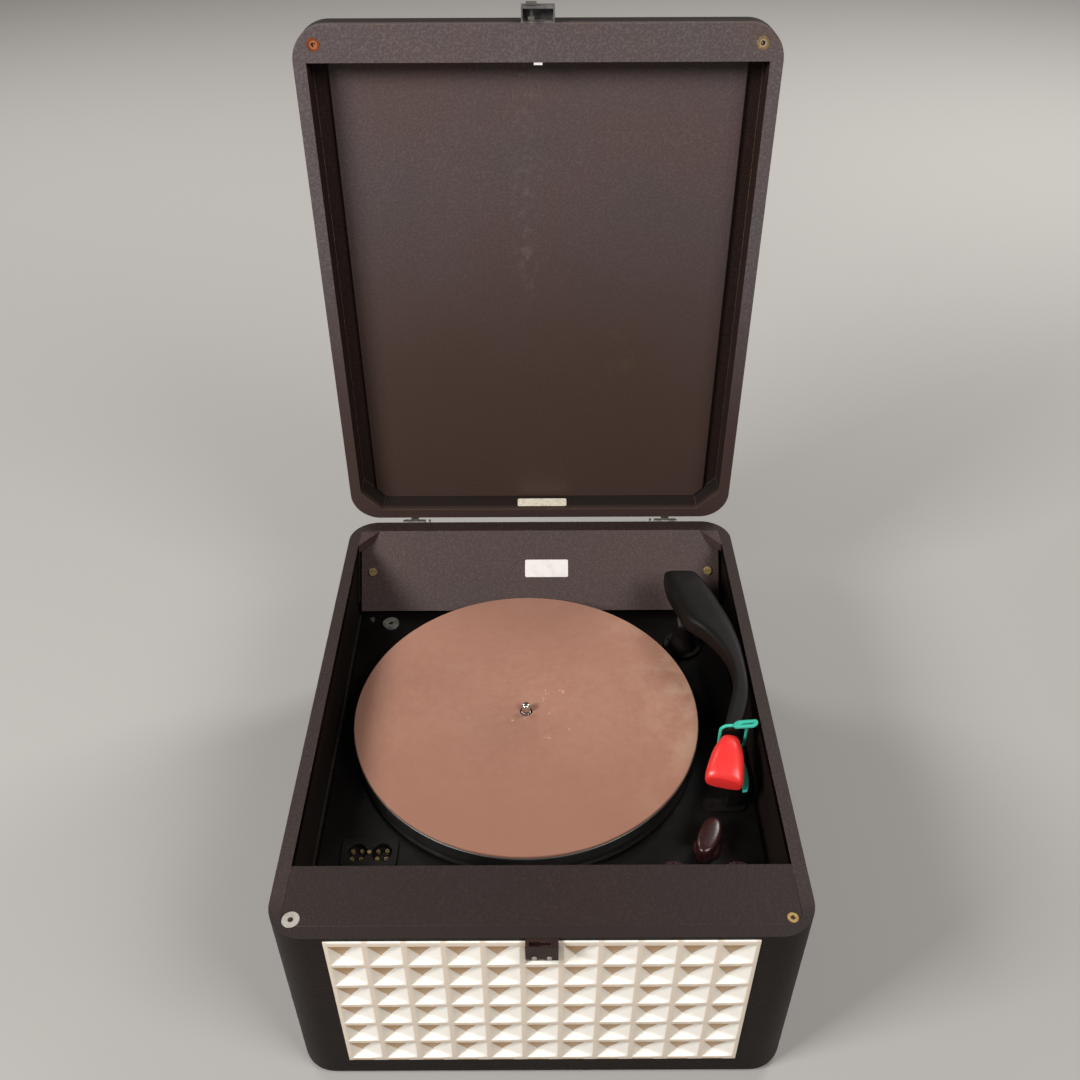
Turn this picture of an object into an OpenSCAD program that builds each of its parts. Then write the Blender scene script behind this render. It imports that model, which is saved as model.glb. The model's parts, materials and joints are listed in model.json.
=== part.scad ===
// Portable record player in a covered wooden case, lid open.
// Millimetres. The origin is on the table, under the middle of the player with its lid open; -Y is the
// grille side. The modules are drawn about the middle of the case, and stand() moves them.

/* [Case] */
// Outer width of the case
case_w = 370; // [366:1:400]
// Outer depth of the case, front to back
case_d = 451; // [449:1:480]
// Height of the case from its underside to the rim
case_h = 183; // [180:1:200]
// Radius of the upright corners
corner_r = 27; // [24:1:30]
// Thickness of the plywood walls
wall_t = 7; // [6:0.5:8]
// Width of the rim at the two sides
rim_w = 10; // [9:0.5:11]
// Width of the rim at the back
rim_back_w = 14; // [12:0.5:16]
// Height of the beading that makes the rim wide
rim_h = 8; // [6:1:12]
// Thickness of the front board that holds the grille
front_t = 9; // [8:0.5:10]
// Depth of the flat top over the loudspeaker compartment
lip_d = 56; // [54:1:60]
// Thickness of that top board
lip_t = 10; // [8:1:12]
// Thickness of the board behind the loudspeaker compartment
partition_t = 6; // [4:0.5:8]
// Thickness of the bottom panel
bottom_t = 4; // [3:0.5:6]
// Side of the battens that hold the bottom panel
batten_w = 14; // [12:1:18]
// Height of the rubber feet under the case
foot_h = 5; // [4:1:8]
// Radius of the rubber feet
foot_r = 9; // [8:0.5:12]
// Distance of the feet from the case sides
foot_inset = 42; // [40:1:60]

/* [Well] */
// Depth of the deck below the rim
deck_drop = 66; // [64:1:70]
// Thickness of the steel deck
deck_t = 2; // [1.5:0.5:3]
// Gap between the deck and the case walls
deck_gap = 5; // [4:0.5:6]
// Height of the lower edge of the sloping back panel over the deck
slope_gap = 6; // [5.5:0.5:10]
// Distance of that lower edge from the outer back of the case
slope_run = 64; // [60:0.5:65]
// Thickness of the sloping back panel
slope_t = 5; // [4:0.5:6]
// Width of the triangular corner gussets
gusset_w = 18; // [14:1:20]
// Length of the corner gussets along the side
gusset_len = 23; // [18:1:26]
// Thickness of the corner gussets
gusset_t = 9; // [8:1:12]
// Width of the bearers that carry the deck
bearer_w = 16; // [14:1:18]
// Height of the bearers
bearer_h = 14; // [10:1:18]
// Thickness of the rubber washers under the deck
washer_t = 3; // [2:0.5:4]
// Radius of the rubber washers
washer_r = 7.8; // [7:0.1:9]

/* [Platter] */
// Place of the spindle across the case
spindle_x = -12.5; // [-14:0.5:-11]
// Place of the spindle front to back
spindle_y = 12; // [11:0.5:13]
// Radius of the platter
platter_r = 147; // [145:0.5:148]
// Wall of the platter's rim
platter_wall = 4; // [3:0.5:5]
// Thickness of the platter's top
platter_top_t = 2; // [1.5:0.5:3]
// Height of the platter's rim
platter_h = 19.5; // [19:0.5:22]
// Height of the platter over the deck
platter_lift = 3; // [3:0.5:4]
// Thickness of the rubber mat
mat_t = 3; // [2:0.5:4]
// How far the mat stays inside the platter's edge
mat_inset = 0.6; // [0.4:0.1:2]
// Radius of the record pin
pin_r = 3.55; // [3.5:0.05:3.6]
// Height of the record pin over the mat
pin_h = 9; // [8:0.5:12]
// Radius of the turning shaft in its bush
shaft_r = 5; // [4.5:0.5:6]
// Length of the shaft below the deck
shaft_down = 31; // [26:1:36]
// Wall of the spindle's bush
bush_wall = 6; // [4:0.5:8]
// Clearance of shafts in their bushes
run_gap = 0.05; // [0.03:0.01:0.08]

/* [Drive] */
// Radius of the idler wheel
idler_r = 20; // [18:0.5:21]
// Height of the idler's rubber edge
idler_t = 5; // [4:0.5:5]
// Angle of the idler round the spindle
idler_at = 150; // [148:1:152]
// Length of the idler's swinging arm
idler_arm_len = 34; // [32:1:36]
// Radius of the motor pulley's middle step
pulley_r = 3.3; // [3:0.1:4]
// Side of the motor's laminated stack
stack_w = 62; // [60:1:66]
// Height of the motor's stack
stack_h = 22; // [18:1:26]
// Radius of the rotor
rotor_r = 14; // [12:0.5:14.5]
// Radius of the motor shaft
motor_shaft_r = 1.6; // [1.5:0.1:1.9]

/* [Arm] */
// Place of the arm's upright pivot across the case
arm_x = 134; // [132:0.5:134]
// Place of the arm's upright pivot front to back
arm_y = 116; // [114:0.5:118]
// Height of the arm's crosswise pivot over the deck
arm_pivot_h = 52; // [50:0.5:53]
// How far the arm's top stands above the rim
arm_over = 3; // [1:0.5:6]
// Radius of the arm's upright spindle
arm_shaft_r = 4; // [3.5:0.5:5]
// Width of the yoke that carries the crosswise pin
yoke_w = 12; // [10:0.5:13]
// Radius of the crosswise pin
lift_pin_r = 1.5; // [1.2:0.1:1.8]
// Wall of the moulded arm
arm_wall = 2.4; // [2:0.2:3]
// Angle between the arm and the pick-up head
head_turn = 14.5; // [13:0.5:16]
// Height of the head's underside over the mat
head_over = 5.5; // [5:0.5:7]
// Height of the stylus over the mat
stylus_over = 2.5; // [2:0.5:3]
// Thickness of the rubber tie's tail
tie_t = 1; // [0.8:0.1:1.2]

/* [Controls] */
// Length of the speed knob's grip
grip_l = 36; // [30:1:38]
// Width of the speed knob's grip
grip_w = 10.5; // [8:0.5:12]
// Height of the speed knob over the deck
speed_h = 18; // [14:1:20]
// Radius of the volume and tone knobs
knob_r = 11; // [9:0.5:12]
// Height of the volume and tone knobs
knob_h = 14; // [12:1:18]
// Radius of the two selector sockets
socket_r = 8; // [7:0.5:8.5]
// Distance between the selector sockets
socket_gap = 19.6; // [19:0.2:21]

/* [Grille] */
// Width of the grille
grille_w = 290; // [284:1:296]
// Height of the grille
grille_h = 160; // [150:1:162]
// Distance of the grille's top edge below the rim
grille_drop = 3.5; // [3:0.5:6]
// Openings across
grille_cols = 11; // [9:1:13]
// Openings down
grille_rows = 6; // [5:1:7]
// Width of the bars between the pockets
grille_bar = 3; // [2.5:0.5:4]
// Thickness of the grille
grille_t = 9; // [8:0.5:10]
// How far the grille stands proud of the case
grille_proud = 1.5; // [1:0.5:2]
// Depth of each pocket
pocket_deep = 6; // [5:0.5:7]
// Thickness of the board that carries the loudspeaker
baffle_t = 9; // [6:1:10]
// Length of the elliptical loudspeaker
speaker_w = 180; // [174:2:186]
// Height of the elliptical loudspeaker
speaker_h = 104; // [100:2:108]

/* [Lid] */
// How far the lid stands open
lid_open = 91; // [85:1:100]
// Height of the lid
lid_h = 31; // [30:1:36]
// Rounding of the lid's top edge
lid_edge_r = 12; // [8:1:13]
// Width of the lid's rim at the sides and back
lid_rim = 10; // [9:0.5:11]
// Width of the lid's rim at the front
lid_lip = 27; // [24:1:30]
// Depth from the lid's rim to the inner panel
lid_deep = 22; // [21.5:0.5:23]
// Thickness of the inner panel
panel_t = 3; // [2:0.5:3]
// Gap between the inner panel and the lid's sides
panel_gap = 12; // [8:1:14]
// Leg of the corner blocks in the lid
lid_block = 20; // [16:1:22]
// Gap between the closed lid and the rim
lid_gap = 0.4; // [0.4:0.1:1]
// Distance of the hinge axis behind the case
hinge_back = 3.5; // [3.5:0.1:4]
// Distance of the hinge axis below the rim
hinge_below = 2.8; // [2.8:0.1:3.2]
// Radius of the hinge knuckles
knuckle_r = 3; // [2.8:0.1:3.2]
// Radius of the hinge pins
hinge_pin_r = 1.5; // [1.2:0.1:1.6]
// Distance of each hinge from the middle
hinge_x = 124; // [110:1:128]
// Length of each hinge's knuckles together
hinge_w = 21; // [20:1:26]
// Width of the strike on the case
strike_w = 22; // [20:1:24]
// Width of the latch housing on the lid
housing_w = 25; // [24:1:30]

/* [Hidden] */
$fn = 64;

// Clearances: glued or screwed together, and free to pass
seat = 0.02;
touch = 0.3;

case_z = foot_h;
rim_z = case_z + case_h;
front_y = -case_d / 2;
back_y = case_d / 2;
side_x = case_w / 2;
in_x = side_x - wall_t;
in_back = back_y - wall_t;
in_r = corner_r - wall_t;
well_x = side_x - rim_w;
front_in = front_y + front_t;
lip_back = front_y + lip_d;
deck_z = rim_z - deck_drop;
deck_under = deck_z - deck_t;
bearer_top = deck_under - washer_t;
bearer_z = bearer_top - bearer_h;
board_top = rim_z - max(lip_t, rim_h);
board_x = side_x - corner_r + 5;
panel_top = case_z + bottom_t;

slope_top_y = back_y - rim_back_w;
slope_low_y = back_y - slope_run;
slope_low_z = deck_z + slope_gap;
slope_len = sqrt(pow(rim_z - slope_low_z, 2) + pow(slope_top_y - slope_low_y, 2));
slope_deg = atan2(rim_z - slope_low_z, slope_top_y - slope_low_y);
slope_screw_x = side_x - 21.5;
slope_screw_u = 0.49 * slope_len;
screw_back = in_back - 70;
screw_front = lip_back + 14;

platter_z = deck_z + platter_lift;
platter_top = platter_z + platter_h;
mat_top = platter_top + mat_t;
drive_r = platter_r - platter_wall;
hub_z = platter_z + 3;
neck_r = pin_r + 0.5;

idler_c = drive_r - idler_r - touch;
idler_x = spindle_x + idler_c * cos(idler_at);
idler_y = spindle_y + idler_c * sin(idler_at);
idler_z = platter_z + 6;
idler_plate_z = deck_z + 2.5;
motor_at = -70;
motor_x = idler_x + (idler_r + pulley_r + touch) * cos(motor_at);
motor_y = idler_y + (idler_r + pulley_r + touch) * sin(motor_at);
idler_pivot_at = -50;
idler_pivot_x = idler_x + idler_arm_len * cos(idler_pivot_at);
idler_pivot_y = idler_y + idler_arm_len * sin(idler_pivot_at);
idler_post_r = 2;
motor_hang = 24;
stack_z = deck_under - motor_hang - stack_h;
bolt_off = 24;
bolt_r = 2;

arm_pivot_z = deck_z + arm_pivot_h;
arm_top = rim_z + arm_over;
arm_roof = arm_top - arm_wall - 0.2;
table_z = arm_pivot_z - 20.6;
turret_low = deck_under - 9.5;
bracket_t = 1.4;
bracket_in = yoke_w / 2 + 0.4;
head_x = arm_x + 19.6;
head_y = arm_y - 152;
head_low = mat_top + head_over;
stylus_z = mat_top + stylus_over;
spigot_up = 19.5;
spigot_r = 2.5;

hinge_y = back_y + hinge_back;
hinge_z = rim_z - hinge_below;
leaf_t = 1.2;
leaf_low = 24;
middle_knuckle = hinge_w * 0.36;
leaf_x = middle_knuckle / 2 + touch;
lid_z = rim_z + lid_gap;
lid_in = lid_z + lid_deep;
buffer_x = side_x - 17;
buffer_y = front_y + 14;

strike_out = 5.5;
strike_h = 16;
strike_t = 1.2;
strike_y = front_y - grille_proud - seat;
strike_top = rim_z - 0.2;
rivet_h = 0.9;
catch_y = strike_y - strike_out / 2;
catch_z = rim_z - 4.4;
slider_x = -5;
slider_travel = 7;
housing_out = 11;
housing_h = 13;
// Front and back ends of the whole player with its lid open; the origin lies half way
near_y = strike_y - strike_out - seat - rivet_h;
far_y = hinge_y + lid_edge_r + (front_y + lid_edge_r - hinge_y) * cos(lid_open)
    + (lid_z + lid_h - lid_edge_r - hinge_z) * sin(lid_open);
mid_y = (near_y + far_y) / 2;

grille_top = rim_z - grille_drop;
grille_low = grille_top - grille_h;
pitch_x = (grille_w - 2) / grille_cols;
pitch_z = (grille_h - 5) / grille_rows;
cloth_t = 1;
basket_y = front_in + cloth_t + baffle_t;
basket_deep = 28;
flange_t = 1.5;
flange_top = 1 + flange_t;
flange_ring = 10;
speaker_z = panel_top + speaker_h / 2 + 4;
magnet_r = 26;
magnet_h = 18;
board_low = panel_top + 1;
batten_reach = back_y - 105.5;
mid_screw_x = side_x - 125;

amp_x = in_x - 92;
amp_y = lip_back + 103.5;
amp_w = 124;
amp_d = 96;
amp_h = 22;
amp_sheet = 1.2;
amp_top = panel_top + amp_h + seat;
can_x = amp_x + 42;
can_y = amp_y + 28;

// A rectangle with round corners, centred
module round_rect(w, d, r) {
    square([w - 2 * r, d], center = true);
    square([w, d - 2 * r], center = true);
    for (sx = [-1, 1])
        for (sy = [-1, 1])
            translate([sx * (w / 2 - r), sy * (d / 2 - r)]) circle(r);
}

// A slot shape: two round ends joined by straight sides, along X
module oval(w, h) {
    square([w - h, h], center = true);
    for (s = [-1, 1]) translate([s * (w - h) / 2, 0]) circle(h / 2);
}

// The inside of the walls in plan, drawn in by a gap
module inside_plan(gap) {
    intersection() {
        round_rect(2 * in_x - 2 * gap, case_d - 2 * wall_t - 2 * gap, in_r - gap);
        translate([-case_w, front_in + gap]) square([2 * case_w, case_d]);
    }
}

// The opening between the beadings in plan, drawn in by a gap
module rim_plan(gap) {
    intersection() {
        inside_plan(gap);
        translate([-well_x + gap, front_in + gap])
            square([2 * well_x - 2 * gap, slope_top_y - front_in - 2 * gap]);
    }
}

// A slotted screw standing on z = 0 with its shank below
module screw(head_r, head_h, shank_r, shank) {
    difference() {
        union() {
            cylinder(r = head_r, h = head_h);
            translate([0, 0, -shank]) cylinder(r = shank_r, h = shank + head_h / 2);
        }
        translate([-head_r, -head_r * 0.12, head_h * 0.55]) cube([2 * head_r, head_r * 0.24, head_h]);
    }
}

// A skin over rings of points that all have the same count, ends capped or joined up
module skin(rings, joined = false) {
    n = len(rings[0]);
    m = len(rings);
    last = joined ? m - 1 : m - 2;
    sides = [
        for (k = [0:last])
            for (i = [0:n - 1])
                let (a = k * n + i, b = k * n + (i + 1) % n)
                    let (c = (k + 1) % m * n + i, d = (k + 1) % m * n + (i + 1) % n)
                        each [[a, c, d], [a, d, b]]
    ];
    caps = joined ? [] : [[for (i = [0:n - 1]) i], [for (i = [n - 1:-1:0]) (m - 1) * n + i]];
    polyhedron(points = [for (ring = rings) for (p = ring) p], faces = concat(sides, caps));
}

// A ring in the XZ plane at y: a box whose corners are rounder the lower the power
function box_ring(y, x0, x1, z0, z1, power, n = 24) = [
    for (i = [0:n - 1])
        let (a = -360 * i / n, c = cos(a), s = sin(a))
        [
            (x0 + x1) / 2 + (x1 - x0) / 2 * sign(c) * pow(abs(c), 2 / power),
            y,
            (z0 + z1) / 2 + (z1 - z0) / 2 * sign(s) * pow(abs(s), 2 / power)
        ]
];

// A smooth value between the rows of a list, at place t counted in rows
function between(rows, t) =
    let (
        last = len(rows) - 1,
        i = min(floor(t), last - 1),
        f = t - i,
        a = rows[max(i - 1, 0)],
        b = rows[i],
        c = rows[i + 1],
        d = rows[min(i + 2, last)]
    )
    b + f * (c - a) / 2
    + f * f * (a - 2.5 * b + 2 * c - d / 2)
    + f * f * f * (1.5 * b - 1.5 * c + d / 2 - a / 2);

// Brings a module from the case's middle to the origin
module stand() {
    translate([0, -mid_y, 0]) children();
}

module at_spindle() {
    translate([spindle_x, spindle_y, 0]) children();
}

// The lid is drawn closed and turned open about the hinge
module lid_place() {
    translate([0, hinge_y, hinge_z]) rotate([-lid_open, 0, 0])
        translate([0, -hinge_y, -hinge_z]) children();
}

// Places children on the face of the sloping panel: x across, y up the slope, z out of it
module on_slope() {
    translate([0, slope_low_y, slope_low_z]) rotate([slope_deg, 0, 0]) children();
}

module foot_places() {
    for (sx = [-1, 1])
        for (sy = [-1, 1])
            translate([sx * (side_x - foot_inset), sy * (case_d / 2 - foot_inset), 0]) children();
}

module batten_places() {
    for (sx = [-1, 1])
        for (y = [-batten_reach, 0, batten_reach])
            translate([sx * (in_x - batten_w / 2), y, 0]) children();
}

module deck_screw_places() {
    far = side_x - 40;
    for (p = [[-far, screw_back], [far, screw_back], [-far, screw_front], [mid_screw_x, screw_front]])
        translate([p[0], p[1], 0]) children();
}

module side_screw_place() {
    translate([-in_x + bearer_w - 2, screw_back + 7, 0]) children();
}

module back_screw_places() {
    on_slope() for (sx = [-1, 1]) translate([sx * slope_screw_x, slope_screw_u, 0]) children();
}

module motor_bolt_places() {
    for (s = [-1, 1]) translate([motor_x + s * bolt_off, motor_y - s * bolt_off, 0]) children();
}

module speed_place() {
    translate([arm_x - 4.5, arm_y - 226, 0]) children();
}

module volume_place() {
    translate([side_x - 85, lip_back + 27, 0]) children();
}

module tone_place() {
    translate([side_x - 37, lip_back + 27, 0]) children();
}

module selector_place() {
    translate([-side_x + 51, lip_back + 56.5, 0]) children();
}

module valve_places() {
    for (x = [-40, -2]) translate([amp_x + x, amp_y - 26, 0]) children();
}

module hinge_places() {
    for (side = [0, 1]) mirror([side, 0, 0]) translate([hinge_x, 0, 0]) children();
}

// The loudspeaker is drawn facing down its own z, which runs back into the case
module at_speaker() {
    translate([0, basket_y, speaker_z]) rotate([-90, 0, 0]) children();
}

module speaker_screw_places() {
    for (sx = [-1, 1])
        for (sy = [-1, 1])
            at_speaker() translate([sx * ((speaker_w - speaker_h) / 2 + 6), sy * (speaker_h / 2 - 4.2), 0]) children();
}

module case_walls() {
    color("#4a3d38") difference() {
        translate([0, 0, case_z]) linear_extrude(case_h) round_rect(case_w, case_d, corner_r);
        translate([0, 0, case_z - 1]) linear_extrude(case_h - rim_h + 1) inside_plan(0);
        translate([0, 0, case_z]) linear_extrude(case_h + 1) rim_plan(0);
        translate([-grille_w / 2 - seat, front_y - 1, grille_low - seat])
            cube([grille_w + 2 * seat, front_t + 2, grille_h + 2 * seat]);
        translate([-side_x + 60, back_y + 1, case_z + 30]) rotate([90, 0, 0]) cylinder(r = 6, h = wall_t + 2);
    }
}

module front_lip_board() {
    color("#4d403b") translate([0, 0, rim_z - lip_t]) linear_extrude(lip_t) intersection() {
        rim_plan(seat);
        translate([-case_w, lip_back - case_d]) square([2 * case_w, case_d]);
    }
}

module partition_board() {
    color("#43372f") difference() {
        translate([-in_x + seat, lip_back - partition_t, bearer_z])
            cube([2 * in_x - 2 * seat, partition_t, board_top - seat - bearer_z]);
        // room for the magnet where the board comes down to it
        at_speaker() cylinder(r = magnet_r + 3, h = basket_deep + magnet_h + 3);
    }
}

module bottom_panel() {
    color("#8a6b4a") difference() {
        translate([0, 0, case_z]) linear_extrude(bottom_t) inside_plan(seat);
        // air slots under the amplifier
        for (i = [-2.5:2.5])
            translate([amp_x + i * 14, amp_y, case_z - 1]) linear_extrude(bottom_t + 2) rotate(90) oval(50, 6);
        foot_places() translate([0, 0, case_z - 1]) cylinder(r = 2, h = bottom_t + 2);
        batten_places() translate([0, 0, case_z - 1]) cylinder(r = 1.6, h = bottom_t + 2);
    }
}

// Bearers of the deck, battens of the bottom panel and blocks behind the sloping panel
module case_rails() {
    block = 26;
    color("#b08a5c") difference() {
        union() {
            for (sx = [-1, 1]) {
                translate([sx * (in_x - bearer_w / 2) - bearer_w / 2 + seat, lip_back + seat, bearer_z])
                    cube([bearer_w - 2 * seat, in_back - in_r - lip_back, bearer_h]);
                translate([sx * (side_x - 36) - block / 2 - 2, screw_back - block / 2, bearer_z])
                    cube([block + 4, block, bearer_h]);
            }
            translate([-side_x + 22, lip_back + seat, bearer_z]) cube([block + 4, block, bearer_h]);
            translate([mid_screw_x - block / 2, lip_back + seat, bearer_z]) cube([block, block, bearer_h]);
        }
        deck_screw_places() translate([0, 0, bearer_z - 1]) cylinder(r = 1.9, h = bearer_h + 2);
        side_screw_place() translate([0, 0, bearer_top - 9]) cylinder(r = 1.5, h = 10);
    }
    color("#b08a5c") difference() {
        for (sx = [-1, 1])
            translate([sx * (in_x - batten_w / 2) - batten_w / 2 + seat, -batten_reach - 30, panel_top])
                cube([batten_w - 2 * seat, 2 * batten_reach + 60, 12]);
        batten_places() translate([0, 0, panel_top - 1]) cylinder(r = 1.5, h = 10);
    }
    color("#b08a5c") difference() {
        intersection() {
            translate([0, 0, deck_z + 9]) linear_extrude(board_top - deck_z - 10) inside_plan(seat);
            for (sx = [-1, 1]) translate([sx * in_x - 26, slope_low_y, deck_z]) cube([52, slope_run, case_h]);
        }
        on_slope() translate([-side_x, -2 * slope_len, -slope_t - seat])
            cube([case_w, 4 * slope_len, 2 * slope_len]);
        back_screw_places() translate([0, 0, -slope_t - 14]) cylinder(r = 1.7, h = 15);
    }
}

// Screws of the bottom panel, of the loudspeaker and of the deck's edge
module wood_screws() {
    color("#b9b4a8") {
        batten_places() translate([0, 0, case_z - seat]) rotate([180, 0, 0]) screw(3.2, 1.7, 1.45, bottom_t + 8);
        speaker_screw_places() translate([0, 0, flange_top + seat]) screw(3.2, 1.7, 1.45, 8);
        side_screw_place() translate([0, 0, deck_z + seat]) screw(2.4, 1.2, 1.45, deck_t + washer_t + 7);
    }
}

module feet() {
    color("#2b2927") foot_places() difference() {
        cylinder(r1 = foot_r - 1.5, r2 = foot_r, h = foot_h - seat);
        translate([0, 0, -1]) cylinder(r = 4.6, h = 3.2);
        cylinder(r = 2.1, h = 3 * foot_h, center = true);
    }
}

module foot_screws() {
    color("#b9b4a8") foot_places() {
        translate([0, 0, 2.2 - seat]) rotate([180, 0, 0]) screw(4.2, 1.6, 1.9, panel_top + 1.6);
        translate([0, 0, panel_top + seat]) difference() {
            cylinder(r = 4.5, h = 2.4, $fn = 6);
            cylinder(r = 1.95, h = 6, center = true);
        }
    }
}

// A gusset in plan at the left, grown by a gap
module gusset_plan(gap) {
    polygon([
        [-well_x + seat, slope_top_y - seat],
        [-well_x + gusset_w + gap, slope_top_y - seat],
        [-well_x + seat, slope_top_y - gusset_len - gap * gusset_len / gusset_w]
    ]);
}

module corner_gussets() {
    color("#4a3d38") for (side = [0, 1]) mirror([side, 0, 0])
        translate([0, 0, rim_z - gusset_t]) linear_extrude(gusset_t) intersection() {
            gusset_plan(0);
            rim_plan(seat);
        }
}

module back_panel() {
    color("#54463f") difference() {
        on_slope() translate([-well_x + 0.5, 0, -slope_t]) cube([2 * well_x - 1, slope_len, slope_t]);
        for (side = [0, 1]) mirror([side, 0, 0])
            translate([0, 0, rim_z - gusset_t - touch]) linear_extrude(2 * gusset_t) {
                gusset_plan(touch);
                translate([-side_x, slope_top_y - gusset_len]) square([rim_w + 1, gusset_len + 1]);
            }
        translate([-side_x, slope_top_y - seat, case_z]) cube([case_w, rim_back_w, 2 * case_h]);
        back_screw_places() cylinder(r = 1.8, h = 4 * slope_t, center = true);
    }
}

module back_panel_screws() {
    color("#c9a24a") back_screw_places() translate([0, 0, seat]) screw(4, 2, 1.65, slope_t + 8);
}

// Blank label in the well, washer and eyelet on the front lip
module case_trim() {
    color("#efece6") on_slope() translate([6.3, slope_len / 2 + 2, seat])
        linear_extrude(0.5) round_rect(42, 17, 1.5);
    color("#d8d3c8") translate([-buffer_x, buffer_y, rim_z + seat]) difference() {
        cylinder(r = 6, h = 0.25);
        cylinder(r = 1.9, h = 3, center = true);
    }
    color("#c9a24a") translate([buffer_x, buffer_y, rim_z + seat]) difference() {
        cylinder(r = 3.8, h = 0.25);
        cylinder(r = 1.6, h = 3, center = true);
    }
}

// One pocket of the grille: it opens at y = 0 and is deepest just below its middle
module pocket(w, h) {
    // the deepest place lies below and to the left of the middle
    floor_x = -w * 0.1;
    floor_w = w * 0.14;
    floor_z = -h * 0.21;
    floor_h = h * 0.11;
    intersection() {
        rotate([0, 90, 0]) linear_extrude(w, center = true) polygon([
            [-h / 2, -1], [h / 2, -1], [h / 2, 0],
            [floor_h - floor_z, pocket_deep], [-floor_h - floor_z, pocket_deep], [-h / 2, 0]
        ]);
        linear_extrude(h, center = true) polygon([
            [-w / 2, -1], [w / 2, -1], [w / 2, 0],
            [floor_x + floor_w, pocket_deep], [floor_x - floor_w, pocket_deep], [-w / 2, 0]
        ]);
    }
    // sound hole in the pocket's floor
    translate([floor_x - w * 0.12, pocket_deep - 1, floor_z - h * 0.09]) cube([w * 0.24, grille_t, h * 0.18]);
}

module grille() {
    face = front_y - grille_proud;
    color("#e9e2d4") difference() {
        translate([-grille_w / 2, face, grille_low]) cube([grille_w, grille_t, grille_h]);
        for (i = [0:grille_cols - 1])
            for (j = [0:grille_rows - 1])
                translate([
                    (i - (grille_cols - 1) / 2) * pitch_x,
                    face,
                    grille_low + grille_h / 2 + (j - (grille_rows - 1) / 2) * pitch_z
                ])
                    pocket(pitch_x - grille_bar, pitch_z - grille_bar);
    }
}

module grille_cloth() {
    color("#7a5a3c") translate([-board_x, front_in + seat, board_low])
        cube([2 * board_x, cloth_t - 2 * seat, board_top - 1 - board_low]);
}

module baffle_board() {
    color("#a9855a") difference() {
        translate([-board_x, front_in + cloth_t, board_low]) cube([2 * board_x, baffle_t, board_top - 1 - board_low]);
        at_speaker() linear_extrude(4 * baffle_t, center = true)
            oval(speaker_w - 2 * flange_ring, speaker_h - 2 * flange_ring);
        speaker_screw_places() cylinder(r = 1.5, h = 14, center = true);
    }
}

module speaker_basket() {
    edge_x = speaker_w / 2;
    edge_y = speaker_h / 2;
    plate_x = 48;
    plate_y = 28;
    rib_x = (speaker_w - speaker_h) / 2 - 8;
    color("#4f5a5e") difference() {
        at_speaker() {
            translate([0, 0, 1]) linear_extrude(flange_t) difference() {
                oval(speaker_w, speaker_h);
                oval(speaker_w - 2 * flange_ring, speaker_h - 2 * flange_ring);
            }
            translate([0, 0, basket_deep - 2]) linear_extrude(2) difference() {
                oval(2 * plate_x, 2 * plate_y);
                circle(13.6);
            }
            // ribs from the flange to the back
            for (s = [0, 180]) rotate(s) {
                translate([0, 5, 0]) rotate([90, 0, 0]) linear_extrude(10) polygon([
                    [edge_x - 9, 1.2], [edge_x - 2, 1.2],
                    [plate_x - 1, basket_deep - 1], [plate_x - 9, basket_deep - 1]
                ]);
                for (x = [-rib_x, rib_x]) translate([x - 5, 0, 0]) rotate([90, 0, 90]) linear_extrude(10) polygon([
                    [edge_y - 9, 1.2], [edge_y - 2, 1.2],
                    [plate_y - 4, basket_deep - 1], [plate_y - 9, basket_deep - 1]
                ]);
            }
        }
        speaker_screw_places() cylinder(r = 1.6, h = 14, center = true);
    }
}

module speaker_cone() {
    cone_n = 36;
    edge_x = speaker_w / 2 - flange_ring;
    edge_y = speaker_h / 2 - flange_ring;
    // back along the front face, round the voice coil and forward along the rear face
    rows = [
        [seat, edge_x + 3, edge_y + 3], [seat, edge_x - 4, edge_y - 4], [11, 38, 22], [21, 12, 12], [26, 12, 12],
        [26, 13, 13], [21.6, 13, 13], [11.8, 39, 23], [1 - seat, edge_x - 3, edge_y - 3],
        [1 - seat, edge_x + 3, edge_y + 3]
    ];
    color("#3b3733") at_speaker() skin([
        for (r = rows) [for (i = [0:cone_n - 1])
            let (a = -360 * i / cone_n) [r[1] * cos(a), r[2] * sin(a), r[0]]]
    ], joined = true);
}

module speaker_magnet() {
    color("#6d6f70") at_speaker() {
        translate([0, 0, basket_deep + seat]) cylinder(r = magnet_r, h = magnet_h);
        translate([0, 0, basket_deep - 6]) cylinder(r = 11.4, h = 7);
    }
}

module deck_plate() {
    front = lip_back + 1.5;
    back = in_back - in_r;
    cut = 4 * deck_t;
    color("#242220") difference() {
        translate([0, (front + back) / 2, deck_under]) linear_extrude(deck_t)
            round_rect(2 * (in_x - deck_gap), back - front, 8);
        translate([0, 0, deck_z - deck_t / 2]) {
            at_spindle() cylinder(r = shaft_r + bush_wall + 0.1, h = cut, center = true);
            translate([motor_x, motor_y, 0]) cylinder(r = 7, h = cut, center = true);
            translate([idler_pivot_x, idler_pivot_y, 0]) cylinder(r = idler_post_r + seat, h = cut, center = true);
            translate([arm_x, arm_y, 0]) cylinder(r = 10.1, h = cut, center = true);
            deck_screw_places() cylinder(r = 4.1, h = cut, center = true);
            side_screw_place() cylinder(r = 1.6, h = cut, center = true);
            volume_place() cylinder(r = 5.1, h = cut, center = true);
            tone_place() cylinder(r = 5.1, h = cut, center = true);
            speed_place() cylinder(r = 6.1, h = cut, center = true);
            selector_place() linear_extrude(cut, center = true) round_rect(socket_gap + 20.4, 21, 3);
            motor_bolt_places() cylinder(r = bolt_r + 0.1, h = cut, center = true);
        }
    }
}

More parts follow.
